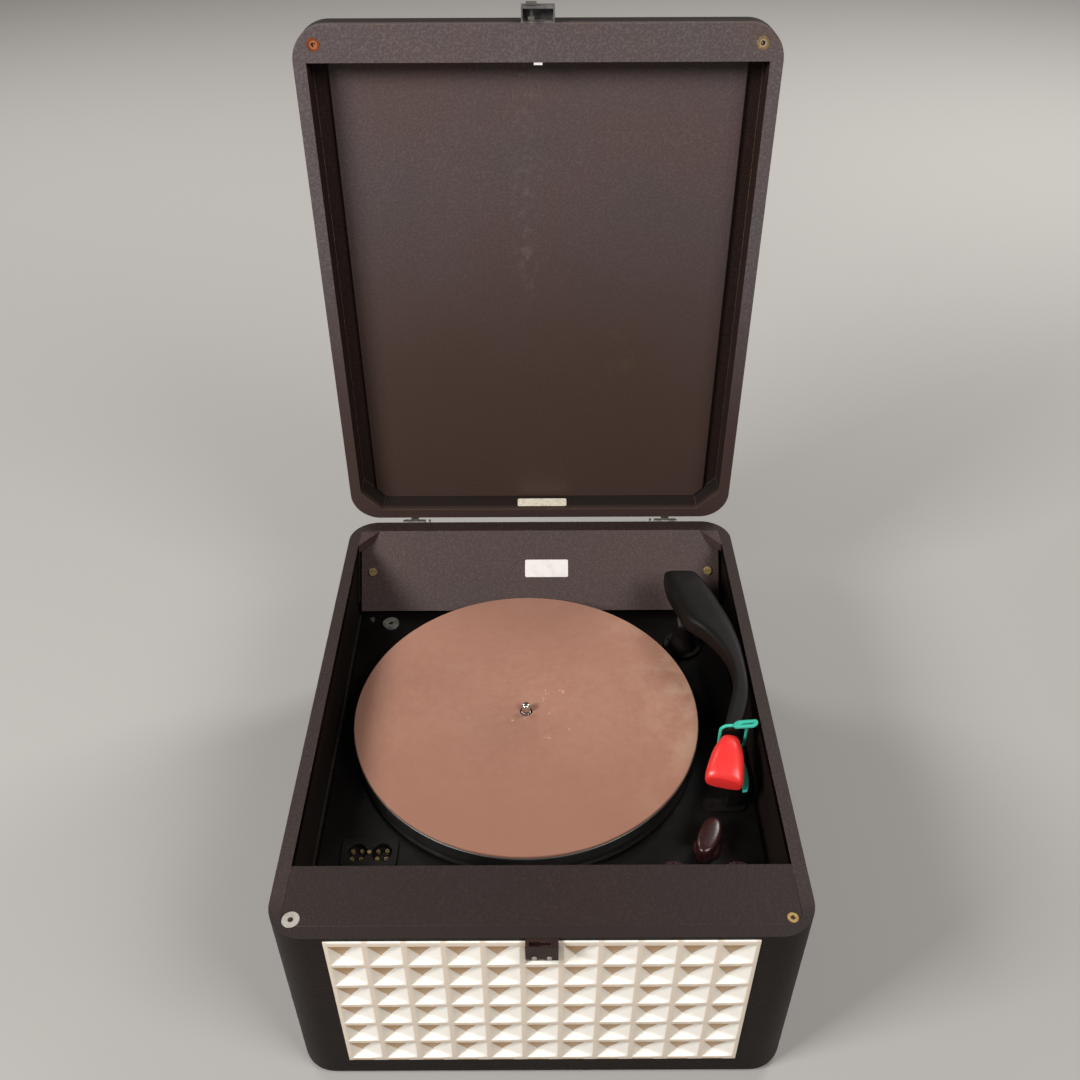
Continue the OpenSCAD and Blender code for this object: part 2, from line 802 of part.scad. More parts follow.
module deck_washers() {
    color("#9b9a94") deck_screw_places() difference() {
        union() {
            translate([0, 0, bearer_top + seat]) cylinder(r = washer_r, h = washer_t - 2 * seat);
            translate([0, 0, bearer_top + seat]) cylinder(r = 4, h = deck_t + washer_t + 1);
            translate([0, 0, deck_z + seat]) cylinder(r = washer_r, h = 2.5);
        }
        cylinder(r = 1.95, h = 3 * deck_z, center = true);
        translate([0, 0, deck_z - 0.5]) cylinder(r = 2.4, h = 8);
    }
}

module deck_screws() {
    color("#8f8a80") deck_screw_places() translate([0, 0, deck_z - 0.5 + seat])
        screw(2.35, 1.8, 1.85, deck_t + washer_t + bearer_h - 4);
}

module motor_stack() {
    limb = 9;
    color("#77787a") translate([motor_x, motor_y, stack_z]) difference() {
        translate([-stack_w / 2, -stack_w / 2, 0]) cube([stack_w, stack_w, stack_h]);
        cylinder(r = rotor_r + 0.4, h = 3 * stack_h, center = true);
        for (s = [-1, 1]) translate([s * bolt_off, -s * bolt_off, 0])
            cylinder(r = bolt_r + seat, h = 3 * stack_h, center = true);
        translate([-stack_w / 2 + limb, -15, -1]) cube([7, 30, stack_h + 2]);
    }
}

module motor_coil() {
    color("#a5522d") translate([motor_x - stack_w / 2, motor_y, stack_z + stack_h / 2]) difference() {
        translate([-7, -14, -stack_h / 2 - 8]) cube([22.6, 28, stack_h + 16]);
        translate([-seat, -16, -stack_h / 2 - seat]) cube([9 + 2 * seat, 32, stack_h + 2 * seat]);
    }
}

module motor_brackets() {
    color("#8d8f90") translate([motor_x, motor_y, 0]) difference() {
        union() {
            for (z = [stack_z - 13, stack_z + stack_h + 9]) translate([0, 0, z]) rotate(-45)
                linear_extrude(4) oval(80, 14);
            for (s = [-1, 1]) translate([s * bolt_off, -s * bolt_off, 0]) {
                translate([0, 0, stack_z - 9]) cylinder(r = 4, h = 9 - seat);
                translate([0, 0, stack_z + stack_h + seat]) cylinder(r = 4, h = 10);
                translate([0, 0, stack_z + stack_h + 12]) cylinder(r = 4, h = motor_hang - 12 - seat);
            }
        }
        translate([0, 0, stack_z]) cylinder(r = motor_shaft_r + run_gap, h = 4 * stack_h, center = true);
        for (s = [-1, 1]) translate([s * bolt_off, -s * bolt_off, stack_z])
            cylinder(r = bolt_r + seat, h = 6 * stack_h, center = true);
    }
    // long bolts through the stack and the deck, with a nut at each end
    color("#8d8f90") motor_bolt_places() {
        translate([0, 0, stack_z - 17]) cylinder(r = bolt_r, h = deck_z + 3 - stack_z + 17);
        translate([0, 0, stack_z - 16]) cylinder(r = 3.6, h = 3 - seat, $fn = 6);
        translate([0, 0, deck_z + seat]) cylinder(r = 3.6, h = 2.4, $fn = 6);
    }
}

module motor_rotor() {
    step_z = idler_z - 2;
    color("#b3b5b6") translate([motor_x, motor_y, 0]) {
        translate([0, 0, stack_z - 1]) cylinder(r = rotor_r, h = stack_h + 2);
        translate([0, 0, stack_z - 12.5]) cylinder(r = motor_shaft_r, h = step_z - stack_z + 13);
        translate([0, 0, step_z - 3]) cylinder(r = pulley_r + 1.2, h = 3);
        translate([0, 0, step_z]) cylinder(r = pulley_r, h = idler_t + 4);
        translate([0, 0, step_z + idler_t + 4]) cylinder(r = pulley_r - 1.2, h = 1.8);
    }
}

module idler_post() {
    color("#b3b5b6") translate([idler_pivot_x, idler_pivot_y, 0]) {
        translate([0, 0, deck_under - 2]) cylinder(r = idler_post_r, h = idler_plate_z + 8.2 - deck_under);
        translate([0, 0, deck_under - 2]) cylinder(r = 3.4, h = 2 - seat);
        translate([0, 0, deck_z + seat]) cylinder(r = 3.4, h = 2.2);
        translate([0, 0, idler_plate_z + 5.2]) cylinder(r = 3, h = 1);
    }
}

module idler_arm() {
    axle_r = 1.5;
    color("#a9a69c") difference() {
        union() {
            translate([idler_pivot_x, idler_pivot_y, idler_plate_z]) rotate(180 + idler_pivot_at)
                translate([idler_arm_len / 2, 0, 0]) linear_extrude(1.4) oval(idler_arm_len + 9, 9);
            translate([idler_pivot_x, idler_pivot_y, idler_plate_z]) cylinder(r = 4, h = 5);
            translate([idler_x, idler_y, idler_plate_z])
                cylinder(r = axle_r, h = idler_z + idler_t + 2 - idler_plate_z);
            translate([idler_x, idler_y, idler_plate_z]) cylinder(r = 3, h = idler_z - 1.6 - idler_plate_z);
        }
        translate([idler_pivot_x, idler_pivot_y, deck_z]) cylinder(r = idler_post_r + run_gap, h = 20);
    }
}

module idler_wheel() {
    color("#2d2b2a") translate([idler_x, idler_y, idler_z]) difference() {
        union() {
            cylinder(r = idler_r, h = idler_t);
            translate([0, 0, -1.5]) cylinder(r = 4.5, h = idler_t + 3);
        }
        cylinder(r = 1.5 + run_gap, h = 6 * idler_t, center = true);
        for (z = [-1, idler_t - 1.2]) translate([0, 0, z]) difference() {
            cylinder(r = idler_r - 4, h = 2.2);
            cylinder(r = 4.5, h = 9, center = true);
        }
    }
}

module spindle_bush() {
    color("#b99b52") at_spindle() difference() {
        union() {
            translate([0, 0, deck_z + seat]) cylinder(r = shaft_r + bush_wall + 6, h = 2.2);
            translate([0, 0, deck_under - shaft_down - 4])
                cylinder(r = shaft_r + bush_wall, h = shaft_down + 6 + deck_t);
        }
        translate([0, 0, deck_under - shaft_down]) cylinder(r = shaft_r + run_gap, h = 2 * shaft_down);
    }
}

module thrust_ball() {
    color("#d6d8d9") at_spindle() translate([0, 0, deck_under - shaft_down + 2.5 + seat]) sphere(r = 2.5);
}

module spindle() {
    low = deck_under - shaft_down + 5 + 3 * seat;
    color("#d6d8d9") at_spindle() {
        translate([0, 0, low]) cylinder(r = shaft_r, h = hub_z - low);
        translate([0, 0, hub_z - 1]) cylinder(r = neck_r, h = mat_top - hub_z + 1);
        translate([0, 0, mat_top - 1]) cylinder(r = pin_r, h = pin_h - 0.6);
        translate([0, 0, mat_top + pin_h - 1.6]) cylinder(r1 = pin_r, r2 = 1.6, h = 1.6);
    }
}

module platter() {
    hub_r = shaft_r + 8;
    color("#1d1c1b") at_spindle() rotate_extrude($fn = 128) polygon([
        [neck_r + seat, hub_z + seat],
        [neck_r + seat, platter_top],
        [platter_r - 0.8, platter_top],
        [platter_r, platter_top - 0.8],
        [platter_r, platter_z],
        [drive_r, platter_z],
        [drive_r, platter_top - platter_top_t],
        [hub_r, platter_top - platter_top_t],
        [hub_r, hub_z + seat]
    ]);
}

module platter_mat() {
    color("#a97f6b") at_spindle() translate([0, 0, platter_top + seat]) difference() {
        cylinder(r = platter_r - mat_inset, h = mat_t - seat, $fn = 128);
        cylinder(r = neck_r + 1.3, h = 4 * mat_t, center = true);
    }
}

module arm_pedestal() {
    color("#2c2825") translate([arm_x, arm_y, 0]) difference() {
        union() {
            translate([0, 0, deck_z + seat]) cylinder(r = 17, h = 3);
            translate([0, 0, deck_z + 3]) cylinder(r1 = 13, r2 = 10, h = 8);
            translate([0, 0, deck_under - 8]) cylinder(r = 10, h = table_z - touch - deck_under + 8);
        }
        translate([0, 0, deck_z]) cylinder(r = arm_shaft_r + run_gap, h = 4 * arm_pivot_h, center = true);
        for (a = [30:120:270]) rotate(a) translate([14.6, 0, deck_z + 2]) cylinder(r = 1.5, h = 4);
    }
}

// The turning part of the arm's pivot: spindle, yoke and the trip lever under the deck
module arm_turret() {
    lug_t = 1.6;
    lug_r = 4.2;
    color("#9d9a92") translate([arm_x, arm_y, 0]) difference() {
        union() {
            translate([0, 0, turret_low]) cylinder(r = arm_shaft_r, h = table_z + 1 - turret_low);
            translate([0, 0, turret_low]) cylinder(r = arm_shaft_r + 2.5, h = 1.2);
            translate([-yoke_w / 2, -7, table_z]) cube([yoke_w, 14, 2]);
            for (x = [-yoke_w / 2, yoke_w / 2 - lug_t])
                translate([x, 0, arm_pivot_z]) rotate([0, 90, 0]) linear_extrude(lug_t) {
                    circle(lug_r);
                    translate([0, -lug_r]) square([arm_pivot_z - table_z, 2 * lug_r]);
                }
            translate([0, 0, turret_low]) rotate(240) linear_extrude(1.2) translate([20, 0]) oval(44, 7);
        }
        translate([0, 0, arm_pivot_z]) rotate([0, 90, 0]) cylinder(r = lift_pin_r + seat, h = 60, center = true);
    }
}

module arm_lift_pin() {
    reach = bracket_in + bracket_t + 0.2;
    color("#d6d8d9") translate([arm_x, arm_y, arm_pivot_z]) rotate([0, 90, 0]) {
        cylinder(r = lift_pin_r, h = 2 * reach, center = true);
        for (s = [0, 1]) mirror([0, 0, s]) translate([0, 0, reach - seat]) cylinder(r = lift_pin_r + 1, h = 1);
    }
}

module arm_bracket() {
    rise = arm_roof - arm_pivot_z;
    out = bracket_in + bracket_t;
    color("#b3b5b6") translate([arm_x, arm_y, 0]) difference() {
        union() {
            for (x = [-out, bracket_in])
                translate([x, 0, arm_pivot_z]) rotate([0, 90, 0]) linear_extrude(bracket_t) {
                    circle(4);
                    translate([-rise, -4]) square([rise, 8]);
                }
            translate([-out, -14, arm_roof - 1.6]) cube([2 * out, 26, 1.6]);
        }
        translate([0, 0, arm_pivot_z]) rotate([0, 90, 0]) cylinder(r = lift_pin_r + run_gap, h = 60, center = true);
    }
}

// Stations of the arm from the neck to the back end: place along y from the pivot, left side,
// right side, underside and top, the last two counted from the arm's highest level
arm_rows = [
    [-152, 12.8, 25.8, -24, -14],
    [-144, 15.8, 28.8, -22.5, -13],
    [-136, 18.2, 32.8, -20, -11],
    [-122, 22.8, 37.6, -18, -8],
    [-108, 26.6, 39.4, -17, -5],
    [-94, 27.2, 39.6, -17, -3],
    [-78, 24.6, 39.2, -17, -2],
    [-62, 18, 38.5, -18, -1],
    [-46, 8, 36.5, -19, -0.5],
    [-32, -4, 34, -20, 0],
    [-12, -11, 28.5, -21, 0],
    [10, -17, 21.5, -21, 0],
    [29, -18.5, 13, -20, -0.6],
    [33, -17, 10, -18, -3]
];

function arm_rings(first, last, steps, wall, deeper, power) = [
    for (k = [0:steps])
        let (r = between(arm_rows, first + (last - first) * k / steps))
        box_ring(
            arm_y + r[0],
            arm_x + r[1] + wall,
            arm_x + r[2] - wall,
            arm_top + r[3] - deeper,
            arm_top + r[4] - wall,
            power
        )
];

// The axis of the head, from its plug at y = 0 to its nose
module at_head() {
    translate([head_x, head_y, head_low]) rotate(180 - head_turn) children();
}

module tonearm_shell() {
    color("#231f1d") difference() {
        skin(arm_rings(0, 13, 26, 0, 0, 5));
        // the shell is open below, over the pivot
        skin(arm_rings(8.8, 12.2, 10, arm_wall, 12, 10));
        translate([arm_x - bracket_in - bracket_t - 0.2, arm_y - 14.2, arm_roof - 8])
            cube([2 * (bracket_in + bracket_t) + 0.4, 26.4, 8]);
        at_head() translate([0, 0, spigot_up]) rotate([90, 0, 0])
            cylinder(r = spigot_r + run_gap, h = 22, center = true);
    }
}

// Stations of the head along its axis: place, half width, underside and top over its lowest level
head_rows = [
    [2.2, 4.6, 9.6, 22],
    [6, 7.4, 5.8, 23.6],
    [11.5, 10.2, 2.6, 23.8],
    [18, 12.8, 0.8, 22.8],
    [26, 14.5, 0.2, 20.7],
    [33, 15.3, 0, 18.2],
    [37.5, 15.3, 0, 16],
    [40.2, 14.6, 0.2, 13.8],
    [41.6, 13.2, 1, 11]
];

module pickup_head() {
    color("#c5281f") at_head() {
        skin([
            for (k = [0:20])
                let (r = between(head_rows, 8 * k / 20)) box_ring(r[0], -r[1], r[1], r[2], r[3], 3)
        ]);
        translate([0, 4, spigot_up]) rotate([90, 0, 0]) cylinder(r = spigot_r, h = 12);
    }
}

module stylus() {
    color("#d6d8d9") at_head() {
        translate([0, 36, stylus_z - head_low]) cylinder(r1 = 0.4, r2 = 0.9, h = head_low - stylus_z - 1);
        translate([-3, 30, -1.6]) cube([6, 10, 1.6 - seat]);
    }
}

// Rubber tie: a loose loop round the neck, a slotted end plate and a flat tail under the head
module transport_tie() {
    strap_r = 1.3;
    half = 10.5;
    bend = 6;
    loop_y = head_y + 2.2;
    loop_top = arm_top - 13.7 + touch + strap_r;
    loop_low = head_low - 0.6;
    loop_x = head_x + 2;
    corners = [[1, loop_top - bend, 0], [-1, loop_top - bend, 90], [-1, loop_low + bend, 180], [1, loop_low + bend, 270]];
    // the loop's middle line: four quarter bends joined by straights, in the XZ plane
    line = [
        for (c = corners)
            for (a = [0:22.5:90])
                [
                    loop_x + c[0] * (half - bend) + bend * cos(c[2] + a),
                    c[1] + bend * sin(c[2] + a),
                    c[2] + a
                ]
    ];
    color("#3fae96") skin([
        for (p = line) [for (i = [0:7])
            [
                p[0] + strap_r * cos(45 * i) * cos(p[2]),
                loop_y + strap_r * sin(45 * i),
                p[1] + strap_r * cos(45 * i) * sin(p[2])
            ]]
    ], joined = true);
    color("#3fae96") translate([loop_x + 1, loop_y, loop_top]) rotate([0, 0, -29]) rotate([0, -32, 0]) linear_extrude(2) difference() {
        translate([11, 0]) oval(22, 8.5);
        translate([13, 0]) oval(12, 2.2);
    }
    color("#3fae96") translate([0, 0, head_low - tie_t - 0.2]) linear_extrude(tie_t) polygon([
        [head_x + 2, loop_y], [head_x + 6, loop_y],
        [head_x + 11, head_y - 30], [head_x + 8.8, head_y - 43],
        [head_x + 4.2, head_y - 43], [head_x + 7, head_y - 31]
    ]);
}

module arm_rest() {
    base_l = 34;
    screw_off = 12.3;
    color("#2a2421") translate([arm_x + 14, arm_y - 186, deck_z + seat]) difference() {
        union() {
            linear_extrude(3) oval(base_l, 12);
            translate([1.5, -2.5, 0]) cube([9, 5, head_low - tie_t - 0.4 - deck_z]);
        }
        for (x = [-screw_off, screw_off]) translate([x, 0, 0]) cylinder(r = 1.5, h = 20, center = true);
    }
    color("#a8a49b") translate([arm_x + 14, arm_y - 186, deck_z + 3 + 2 * seat])
        for (x = [-screw_off, screw_off]) translate([x, 0, 0]) screw(2.6, 1.3, 1.45, 2.9);
}

module speed_knob() {
    stem_z = deck_under - 9;
    color("#3a1c16") speed_place() {
        translate([0, 0, deck_z + touch]) cylinder(r1 = 13, r2 = 11.5, h = 4);
        translate([0, 0, deck_z + 3]) rotate(64) linear_extrude(speed_h - 3) oval(grip_l, grip_w);
        translate([0, 0, stem_z]) cylinder(r = 3, h = deck_t + 13);
        translate([0, 0, stem_z]) rotate(20) linear_extrude(3) oval(34, 12);
    }
}

module round_knob() {
    flutes = 16;
    color("#ded6c6") difference() {
        union() {
            translate([0, 0, deck_z + 0.6]) cylinder(r = knob_r, h = knob_h);
            translate([0, 0, deck_under - 6]) cylinder(r = 3, h = deck_t + 8);
        }
        for (i = [1:flutes]) rotate(i * 360 / flutes)
            translate([knob_r + 0.6, 0, deck_z]) cylinder(r = 1.1, h = knob_h - 2);
        translate([-0.5, 3, deck_z + knob_h - 0.4]) cube([1, knob_r - 3, 2]);
    }
}

module volume_knob() {
    volume_place() round_knob();
}

module tone_knob() {
    tone_place() round_knob();
}

module control_body() {
    difference() {
        union() {
            translate([0, 0, deck_under - 15]) cylinder(r = 11.5, h = 15 - seat);
            translate([0, 0, deck_under - 2]) cylinder(r = 5, h = 2 + deck_t);
        }
        translate([0, 0, deck_under - 6.5]) cylinder(r = 3 + run_gap, h = 20);
    }
}

// Speed switch under its knob, and the volume and tone controls
module control_bodies() {
    color("#5b3a26") speed_place() translate([-22, -14, deck_under - 24]) cube([40, 28, 12]);
    color("#a8a49b") speed_place() {
        translate([-22, -5, deck_under - 12 + seat]) cube([1.6, 10, 12 - 2 * seat]);
        difference() {
            union() {
                translate([0, 0, deck_under - 5]) cylinder(r = 6, h = deck_t + 5);
                translate([0, 0, deck_under - 5]) cylinder(r = 9, h = 5 - seat);
            }
            translate([0, 0, deck_under]) cylinder(r = 3 + run_gap, h = 20, center = true);
        }
    }
    color("#8d8f90") {
        volume_place() control_body();
        tone_place() control_body();
    }
}

contact_x = [for (s = [-1, 1]) for (a = [45:90:315]) [s * socket_gap / 2 + 5 * cos(a), 5 * sin(a)]];

module selector_block() {
    color("#1c1815") selector_place() difference() {
        union() {
            translate([0, 0, deck_under - 12]) linear_extrude(deck_t + 13) round_rect(socket_gap + 20, 20.8, 2.9);
            translate([0, 0, deck_z + seat]) linear_extrude(1.6) round_rect(socket_gap + 24.4, 25, 4);
        }
        for (s = [-1, 1]) translate([s * socket_gap / 2, 0, deck_z - 4]) cylinder(r = socket_r, h = 8);
        for (p = contact_x) translate([p[0], p[1], deck_z - 10]) cylinder(r = 1.5, h = 10);
    }
}

// Contacts in the two sockets and the screw between them
module selector_contacts() {
    color("#c9a24a") selector_place() {
        for (p = contact_x)
            translate([p[0], p[1], deck_z - 10 + seat]) difference() {
                cylinder(r = 1.5 - seat, h = 8.5);
                translate([0, 0, 3]) cylinder(r = 0.8, h = 8);
            }
        translate([0, 0, deck_z + 1.6 + 2 * seat]) cylinder(r = 1.6, h = 0.8);
    }
}

// Folded chassis with the smoothing capacitor and the two valve holders
module amplifier_chassis() {
    color("#a7aaac") difference() {
        translate([amp_x - amp_w / 2, amp_y - amp_d / 2, panel_top + seat]) cube([amp_w, amp_d, amp_h]);
        translate([amp_x - amp_w / 2 + amp_sheet, amp_y - amp_d / 2 + amp_sheet, panel_top - 1])
            cube([amp_w - 2 * amp_sheet, amp_d - 2 * amp_sheet, amp_h + 1 - amp_sheet]);
        valve_places() translate([0, 0, amp_top]) cylinder(r = 8, h = 10, center = true);
        translate([can_x, can_y, amp_top]) cylinder(r = 5, h = 10, center = true);
    }
    color("#c3c5c6") translate([can_x, can_y, 0]) {
        translate([0, 0, amp_top + seat]) cylinder(r = 11.8, h = 48);
        translate([0, 0, amp_top - 6]) cylinder(r = 4.9, h = 7);
    }
    color("#cfc6b4") valve_places() {
        translate([0, 0, amp_top - 8]) cylinder(r = 7.9, h = 9);
        translate([0, 0, amp_top + seat]) difference() {
            cylinder(r = 9.3, h = 5);
            translate([0, 0, 3]) cylinder(r = 6, h = 5);
        }
    }
}

module one_transformer(w, d, h) {
    color("#6f5a3f") difference() {
        translate([-w / 2, -d / 2, 0]) cube([w, d, h]);
        for (s = [-1, 1]) translate([s * w / 4 - w / 16, -d, w / 5]) cube([w / 8, 2 * d, h - 2 * w / 5]);
    }
    color("#a5522d") for (s = [0, 1]) mirror([0, s, 0])
        translate([-w * 0.3, d / 2 + seat, w / 6]) cube([w * 0.6, 6, h - w / 3]);
}

module transformers() {
    translate([amp_x - 28, amp_y + 21, amp_top + seat]) one_transformer(44, 36, 40);
    translate([amp_x + 14, amp_y + 28, amp_top + seat]) one_transformer(28, 26, 26);
}

module valves() {
    color("#cfd8d6") valve_places() translate([0, 0, amp_top + 5 + 2 * seat]) {
        translate([0, 0, -1.9]) cylinder(r = 5.9, h = 3);
        cylinder(r = 10.5, h = 42);
        translate([0, 0, 42]) cylinder(r1 = 10.5, r2 = 3, h = 6);
        translate([0, 0, 48]) cylinder(r1 = 3, r2 = 1, h = 3);
    }
}

module cord_gland() {
    color("#221f1d") translate([-side_x + 60, 0, case_z + 30]) rotate([-90, 0, 0]) difference() {
        union() {
            translate([0, 0, in_back - 3 - seat]) cylinder(r = 8.5, h = 3);
            translate([0, 0, in_back - 1]) cylinder(r = 6 - seat, h = wall_t + 2);
            translate([0, 0, back_y + seat]) cylinder(r = 8.5, h = 3);
        }
        translate([0, 0, in_back - 10]) cylinder(r = 3.4, h = 40);
    }
}

module knuckle(x0, x1) {
    translate([x0, hinge_y, hinge_z]) rotate([0, 90, 0]) cylinder(r = knuckle_r, h = x1 - x0);
}

// The part of a base leaf behind one knuckle
module leaf_tab(x0, x1) {
    translate([x0, back_y + seat, hinge_z - 5]) cube([x1 - x0, leaf_t, 6]);
    translate([x0, back_y + seat, hinge_z - 3]) cube([x1 - x0, hinge_back, 2.4]);
    knuckle(x0, x1);
}

// Knuckles on the case, with the narrow stop lug beside them on the inner side
module hinge_leaves_base() {
    color("#8b8375") hinge_places() difference() {
        union() {
            leaf_tab(-hinge_w / 2, -leaf_x);
            leaf_tab(leaf_x, hinge_w / 2);
            leaf_tab(-hinge_w / 2 - 5, -hinge_w / 2 - 3.2);
            translate([-hinge_w / 2 - 7, back_y + seat, hinge_z - leaf_low])
                cube([hinge_w + 14, leaf_t, leaf_low - knuckle_r - 1]);
        }
        translate([0, hinge_y, hinge_z]) rotate([0, 90, 0])
            cylinder(r = hinge_pin_r + seat, h = hinge_w + 2, center = true);
    }
    color("#b9b4a8") hinge_places() for (x = [-12, 12])
        translate([x, back_y + leaf_t + 2 * seat, hinge_z - 14]) rotate([-90, 0, 0]) cylinder(r = 2.6, h = 1);
}

module hinge_leaves_lid() {
    color("#8b8375") lid_place() hinge_places() difference() {
        union() {
            knuckle(-leaf_x + touch, leaf_x - touch);
            translate([-hinge_w / 2 - 5, back_y + seat, lid_z + 2]) cube([hinge_w + 10, leaf_t, 17]);
            translate([-middle_knuckle / 2, back_y + seat, hinge_z])
                cube([middle_knuckle, leaf_t, lid_z + 3 - hinge_z]);
            translate([-middle_knuckle / 2, back_y + seat, hinge_z + 0.6]) cube([middle_knuckle, hinge_back, 2.2]);
        }
        translate([0, hinge_y, hinge_z]) rotate([0, 90, 0])
            cylinder(r = hinge_pin_r + run_gap, h = hinge_w, center = true);
    }
    color("#b9b4a8") lid_place() hinge_places() for (x = [-12, 12])
        translate([x, back_y + leaf_t + 2 * seat, lid_z + 11]) rotate([-90, 0, 0]) cylinder(r = 2.6, h = 1);
}

module hinge_pins() {
    color("#6b655b") hinge_places() translate([0, hinge_y, hinge_z]) rotate([0, 90, 0]) {
        translate([0, 0, -hinge_w / 2]) cylinder(r = hinge_pin_r, h = hinge_w + 0.5);
        translate([0, 0, hinge_w / 2 + seat]) cylinder(r = hinge_pin_r + 0.9, h = 1.2);
    }
}

// Folded plate over the front edge of the rim; its top has the slot for the catch
module latch_strike() {
    room = strike_out - 2 * strike_t;
    low = rim_z - strike_h;
    color("#3c2a22") difference() {
        union() {
            translate([-strike_w / 2, strike_y - strike_out, low]) cube([strike_w, strike_out, strike_top - low]);
            translate([-strike_w / 2, strike_y - 1, grille_top + 2 * seat])
                cube([strike_w, grille_proud + 1, strike_top - grille_top - 2 * seat]);
        }
        translate([-strike_w / 2 + strike_t, catch_y - room / 2, low - 1])
            cube([strike_w - 2 * strike_t, room, strike_top - strike_t - low + 1]);
        // slot: wide at the left, where the catch drops in, and narrow at the right
        translate([slider_x - 3.6, catch_y - room / 2, rim_z - 6]) cube([7.6, room, 8]);
        translate([slider_x, catch_y - 0.8, rim_z - 6]) cube([slider_travel + 4, 1.6, 8]);
    }
    color("#a39c92") for (s = [-1, 1])
        translate([s * 5, strike_y - strike_out - seat, low + 3.5]) rotate([90, 0, 0]) cylinder(r = 1.7, h = rivet_h);
}

// The catch: a button in front, a stem through the housing and a foot that slides under the strike
module latch_slider() {
    face = front_y - housing_out - touch;
    color("#8b8375") lid_place() {
        translate([slider_x - 4, face - 2, lid_z + 4.5]) cube([8, 2, 5]);
        translate([slider_x - 1.2, face - 1, lid_z + 6]) cube([2.4, catch_y + 1.5 - face, 2]);
        translate([slider_x - 1.2, catch_y - 0.5, catch_z]) cube([2.4, 1, lid_z + 8 - catch_z]);
        translate([slider_x - 2.4, catch_y - 1.25, catch_z]) cube([4.8, 2.5, 1.6]);
    }
}

// The lid is one block with rounded top edges, hollowed out from below
module lid_shell() {
    color("#4a3d38") lid_place() difference() {
        translate([0, 0, lid_z]) hull()
            for (sx = [-1, 1])
                for (sy = [-1, 1])
                    translate([sx * (side_x - corner_r), sy * (case_d / 2 - corner_r), 0]) {
                        cylinder(r = corner_r, h = lid_h - lid_edge_r);
                        translate([0, 0, lid_h - lid_edge_r]) rotate_extrude()
                            translate([corner_r - lid_edge_r, 0]) circle(lid_edge_r, $fn = 32);
                    }
        translate([0, 0, lid_z - 1]) linear_extrude(lid_deep + panel_t + 1) polygon([
            [-side_x + lid_rim, front_y + lid_lip],
            [side_x - lid_rim, front_y + lid_lip],
            [side_x - lid_rim, back_y - lid_rim - lid_block],
            [side_x - lid_rim - lid_block, back_y - lid_rim],
            [-side_x + lid_rim + lid_block, back_y - lid_rim],
            [-side_x + lid_rim, back_y - lid_rim - lid_block]
        ]);
        for (s = [-1, 1]) translate([s * buffer_x, buffer_y, lid_z - 1]) cylinder(r = 5, h = 1.5);
    }
}

module lid_panel() {
    x = side_x - lid_rim - panel_gap;
    y = back_y - lid_rim;
    cut = lid_block - panel_gap + 1;
    color("#5a4c45") lid_place() translate([0, 0, lid_in]) linear_extrude(panel_t - seat) polygon([
        [-x, front_y + lid_lip + seat],
        [x, front_y + lid_lip + seat],
        [x, y - cut],
        [x - cut, y - seat],
        [-x + cut, y - seat],
        [-x, y - cut]
    ]);
}

// Latch housing, bare plate with its two screws, clip and buffer rings
module lid_fittings() {
    plate_y = back_y - lid_rim - seat;
    plate_x = 2.2;
    wall = 1.2;
    color("#6f665c") lid_place() difference() {
        translate([-housing_w / 2, front_y - housing_out, lid_z + 0.2]) cube([housing_w, housing_out - seat, housing_h]);
        translate([-housing_w / 2 + wall, front_y - housing_out + wall, lid_z - 1])
            cube([housing_w - 2 * wall, housing_out - 2 * wall - seat, housing_h]);
        translate([slider_x - 1.6, front_y - housing_out - 1, lid_z + 5.6]) cube([slider_travel + 3.2, 4, 2.8]);
    }
    color("#b8b2a6") lid_place() {
        translate([plate_x, plate_y, lid_z + 11]) rotate([90, 0, 0]) linear_extrude(0.8) round_rect(48.5, 12, 2);
        for (s = [-1, 1]) translate([plate_x + s * 20.5, plate_y - 0.8 - seat, lid_z + 11]) rotate([90, 0, 0])
            cylinder(r = 1.6, h = 0.7);
        translate([-3.3, front_y + lid_lip + seat, lid_z + 0.4]) cube([6.6, 2, 5]);
    }
    color("#c9a24a") lid_place() for (s = [-1, 1])
        translate([s * buffer_x, buffer_y, lid_z + 0.1]) difference() {
            cylinder(r = 4.9, h = 0.4 - seat);
            cylinder(r = 3.2, h = 3, center = true);
        }
}

stand() case_walls();
stand() front_lip_board();
stand() partition_board();
stand() bottom_panel();
stand() case_rails();
stand() wood_screws();
stand() feet();
stand() foot_screws();
stand() corner_gussets();
stand() back_panel();
stand() back_panel_screws();
stand() case_trim();
stand() grille();
stand() grille_cloth();
stand() baffle_board();
stand() speaker_basket();
stand() speaker_cone();
stand() speaker_magnet();
stand() deck_plate();
stand() deck_washers();
stand() deck_screws();
stand() motor_stack();
stand() motor_coil();
stand() motor_brackets();
stand() motor_rotor();
stand() idler_post();
stand() idler_arm();
stand() idler_wheel();
stand() spindle_bush();
stand() thrust_ball();
stand() platter();
stand() platter_mat();
stand() spindle();
stand() arm_pedestal();
stand() arm_turret();
stand() arm_lift_pin();
stand() arm_bracket();
stand() tonearm_shell();
stand() pickup_head();
stand() stylus();
stand() transport_tie();
stand() arm_rest();
stand() speed_knob();
stand() volume_knob();
stand() tone_knob();
stand() control_bodies();
stand() selector_block();
stand() selector_contacts();
stand() amplifier_chassis();
stand() transformers();
stand() valves();
stand() cord_gland();
stand() hinge_leaves_base();
stand() hinge_leaves_lid();
stand() hinge_pins();
stand() latch_strike();
stand() latch_slider();
stand() lid_shell();
stand() lid_panel();
stand() lid_fittings();
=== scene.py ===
import bpy
import bmesh
import json
import numpy as np
from mathutils import Matrix, Vector
from math import radians, pi

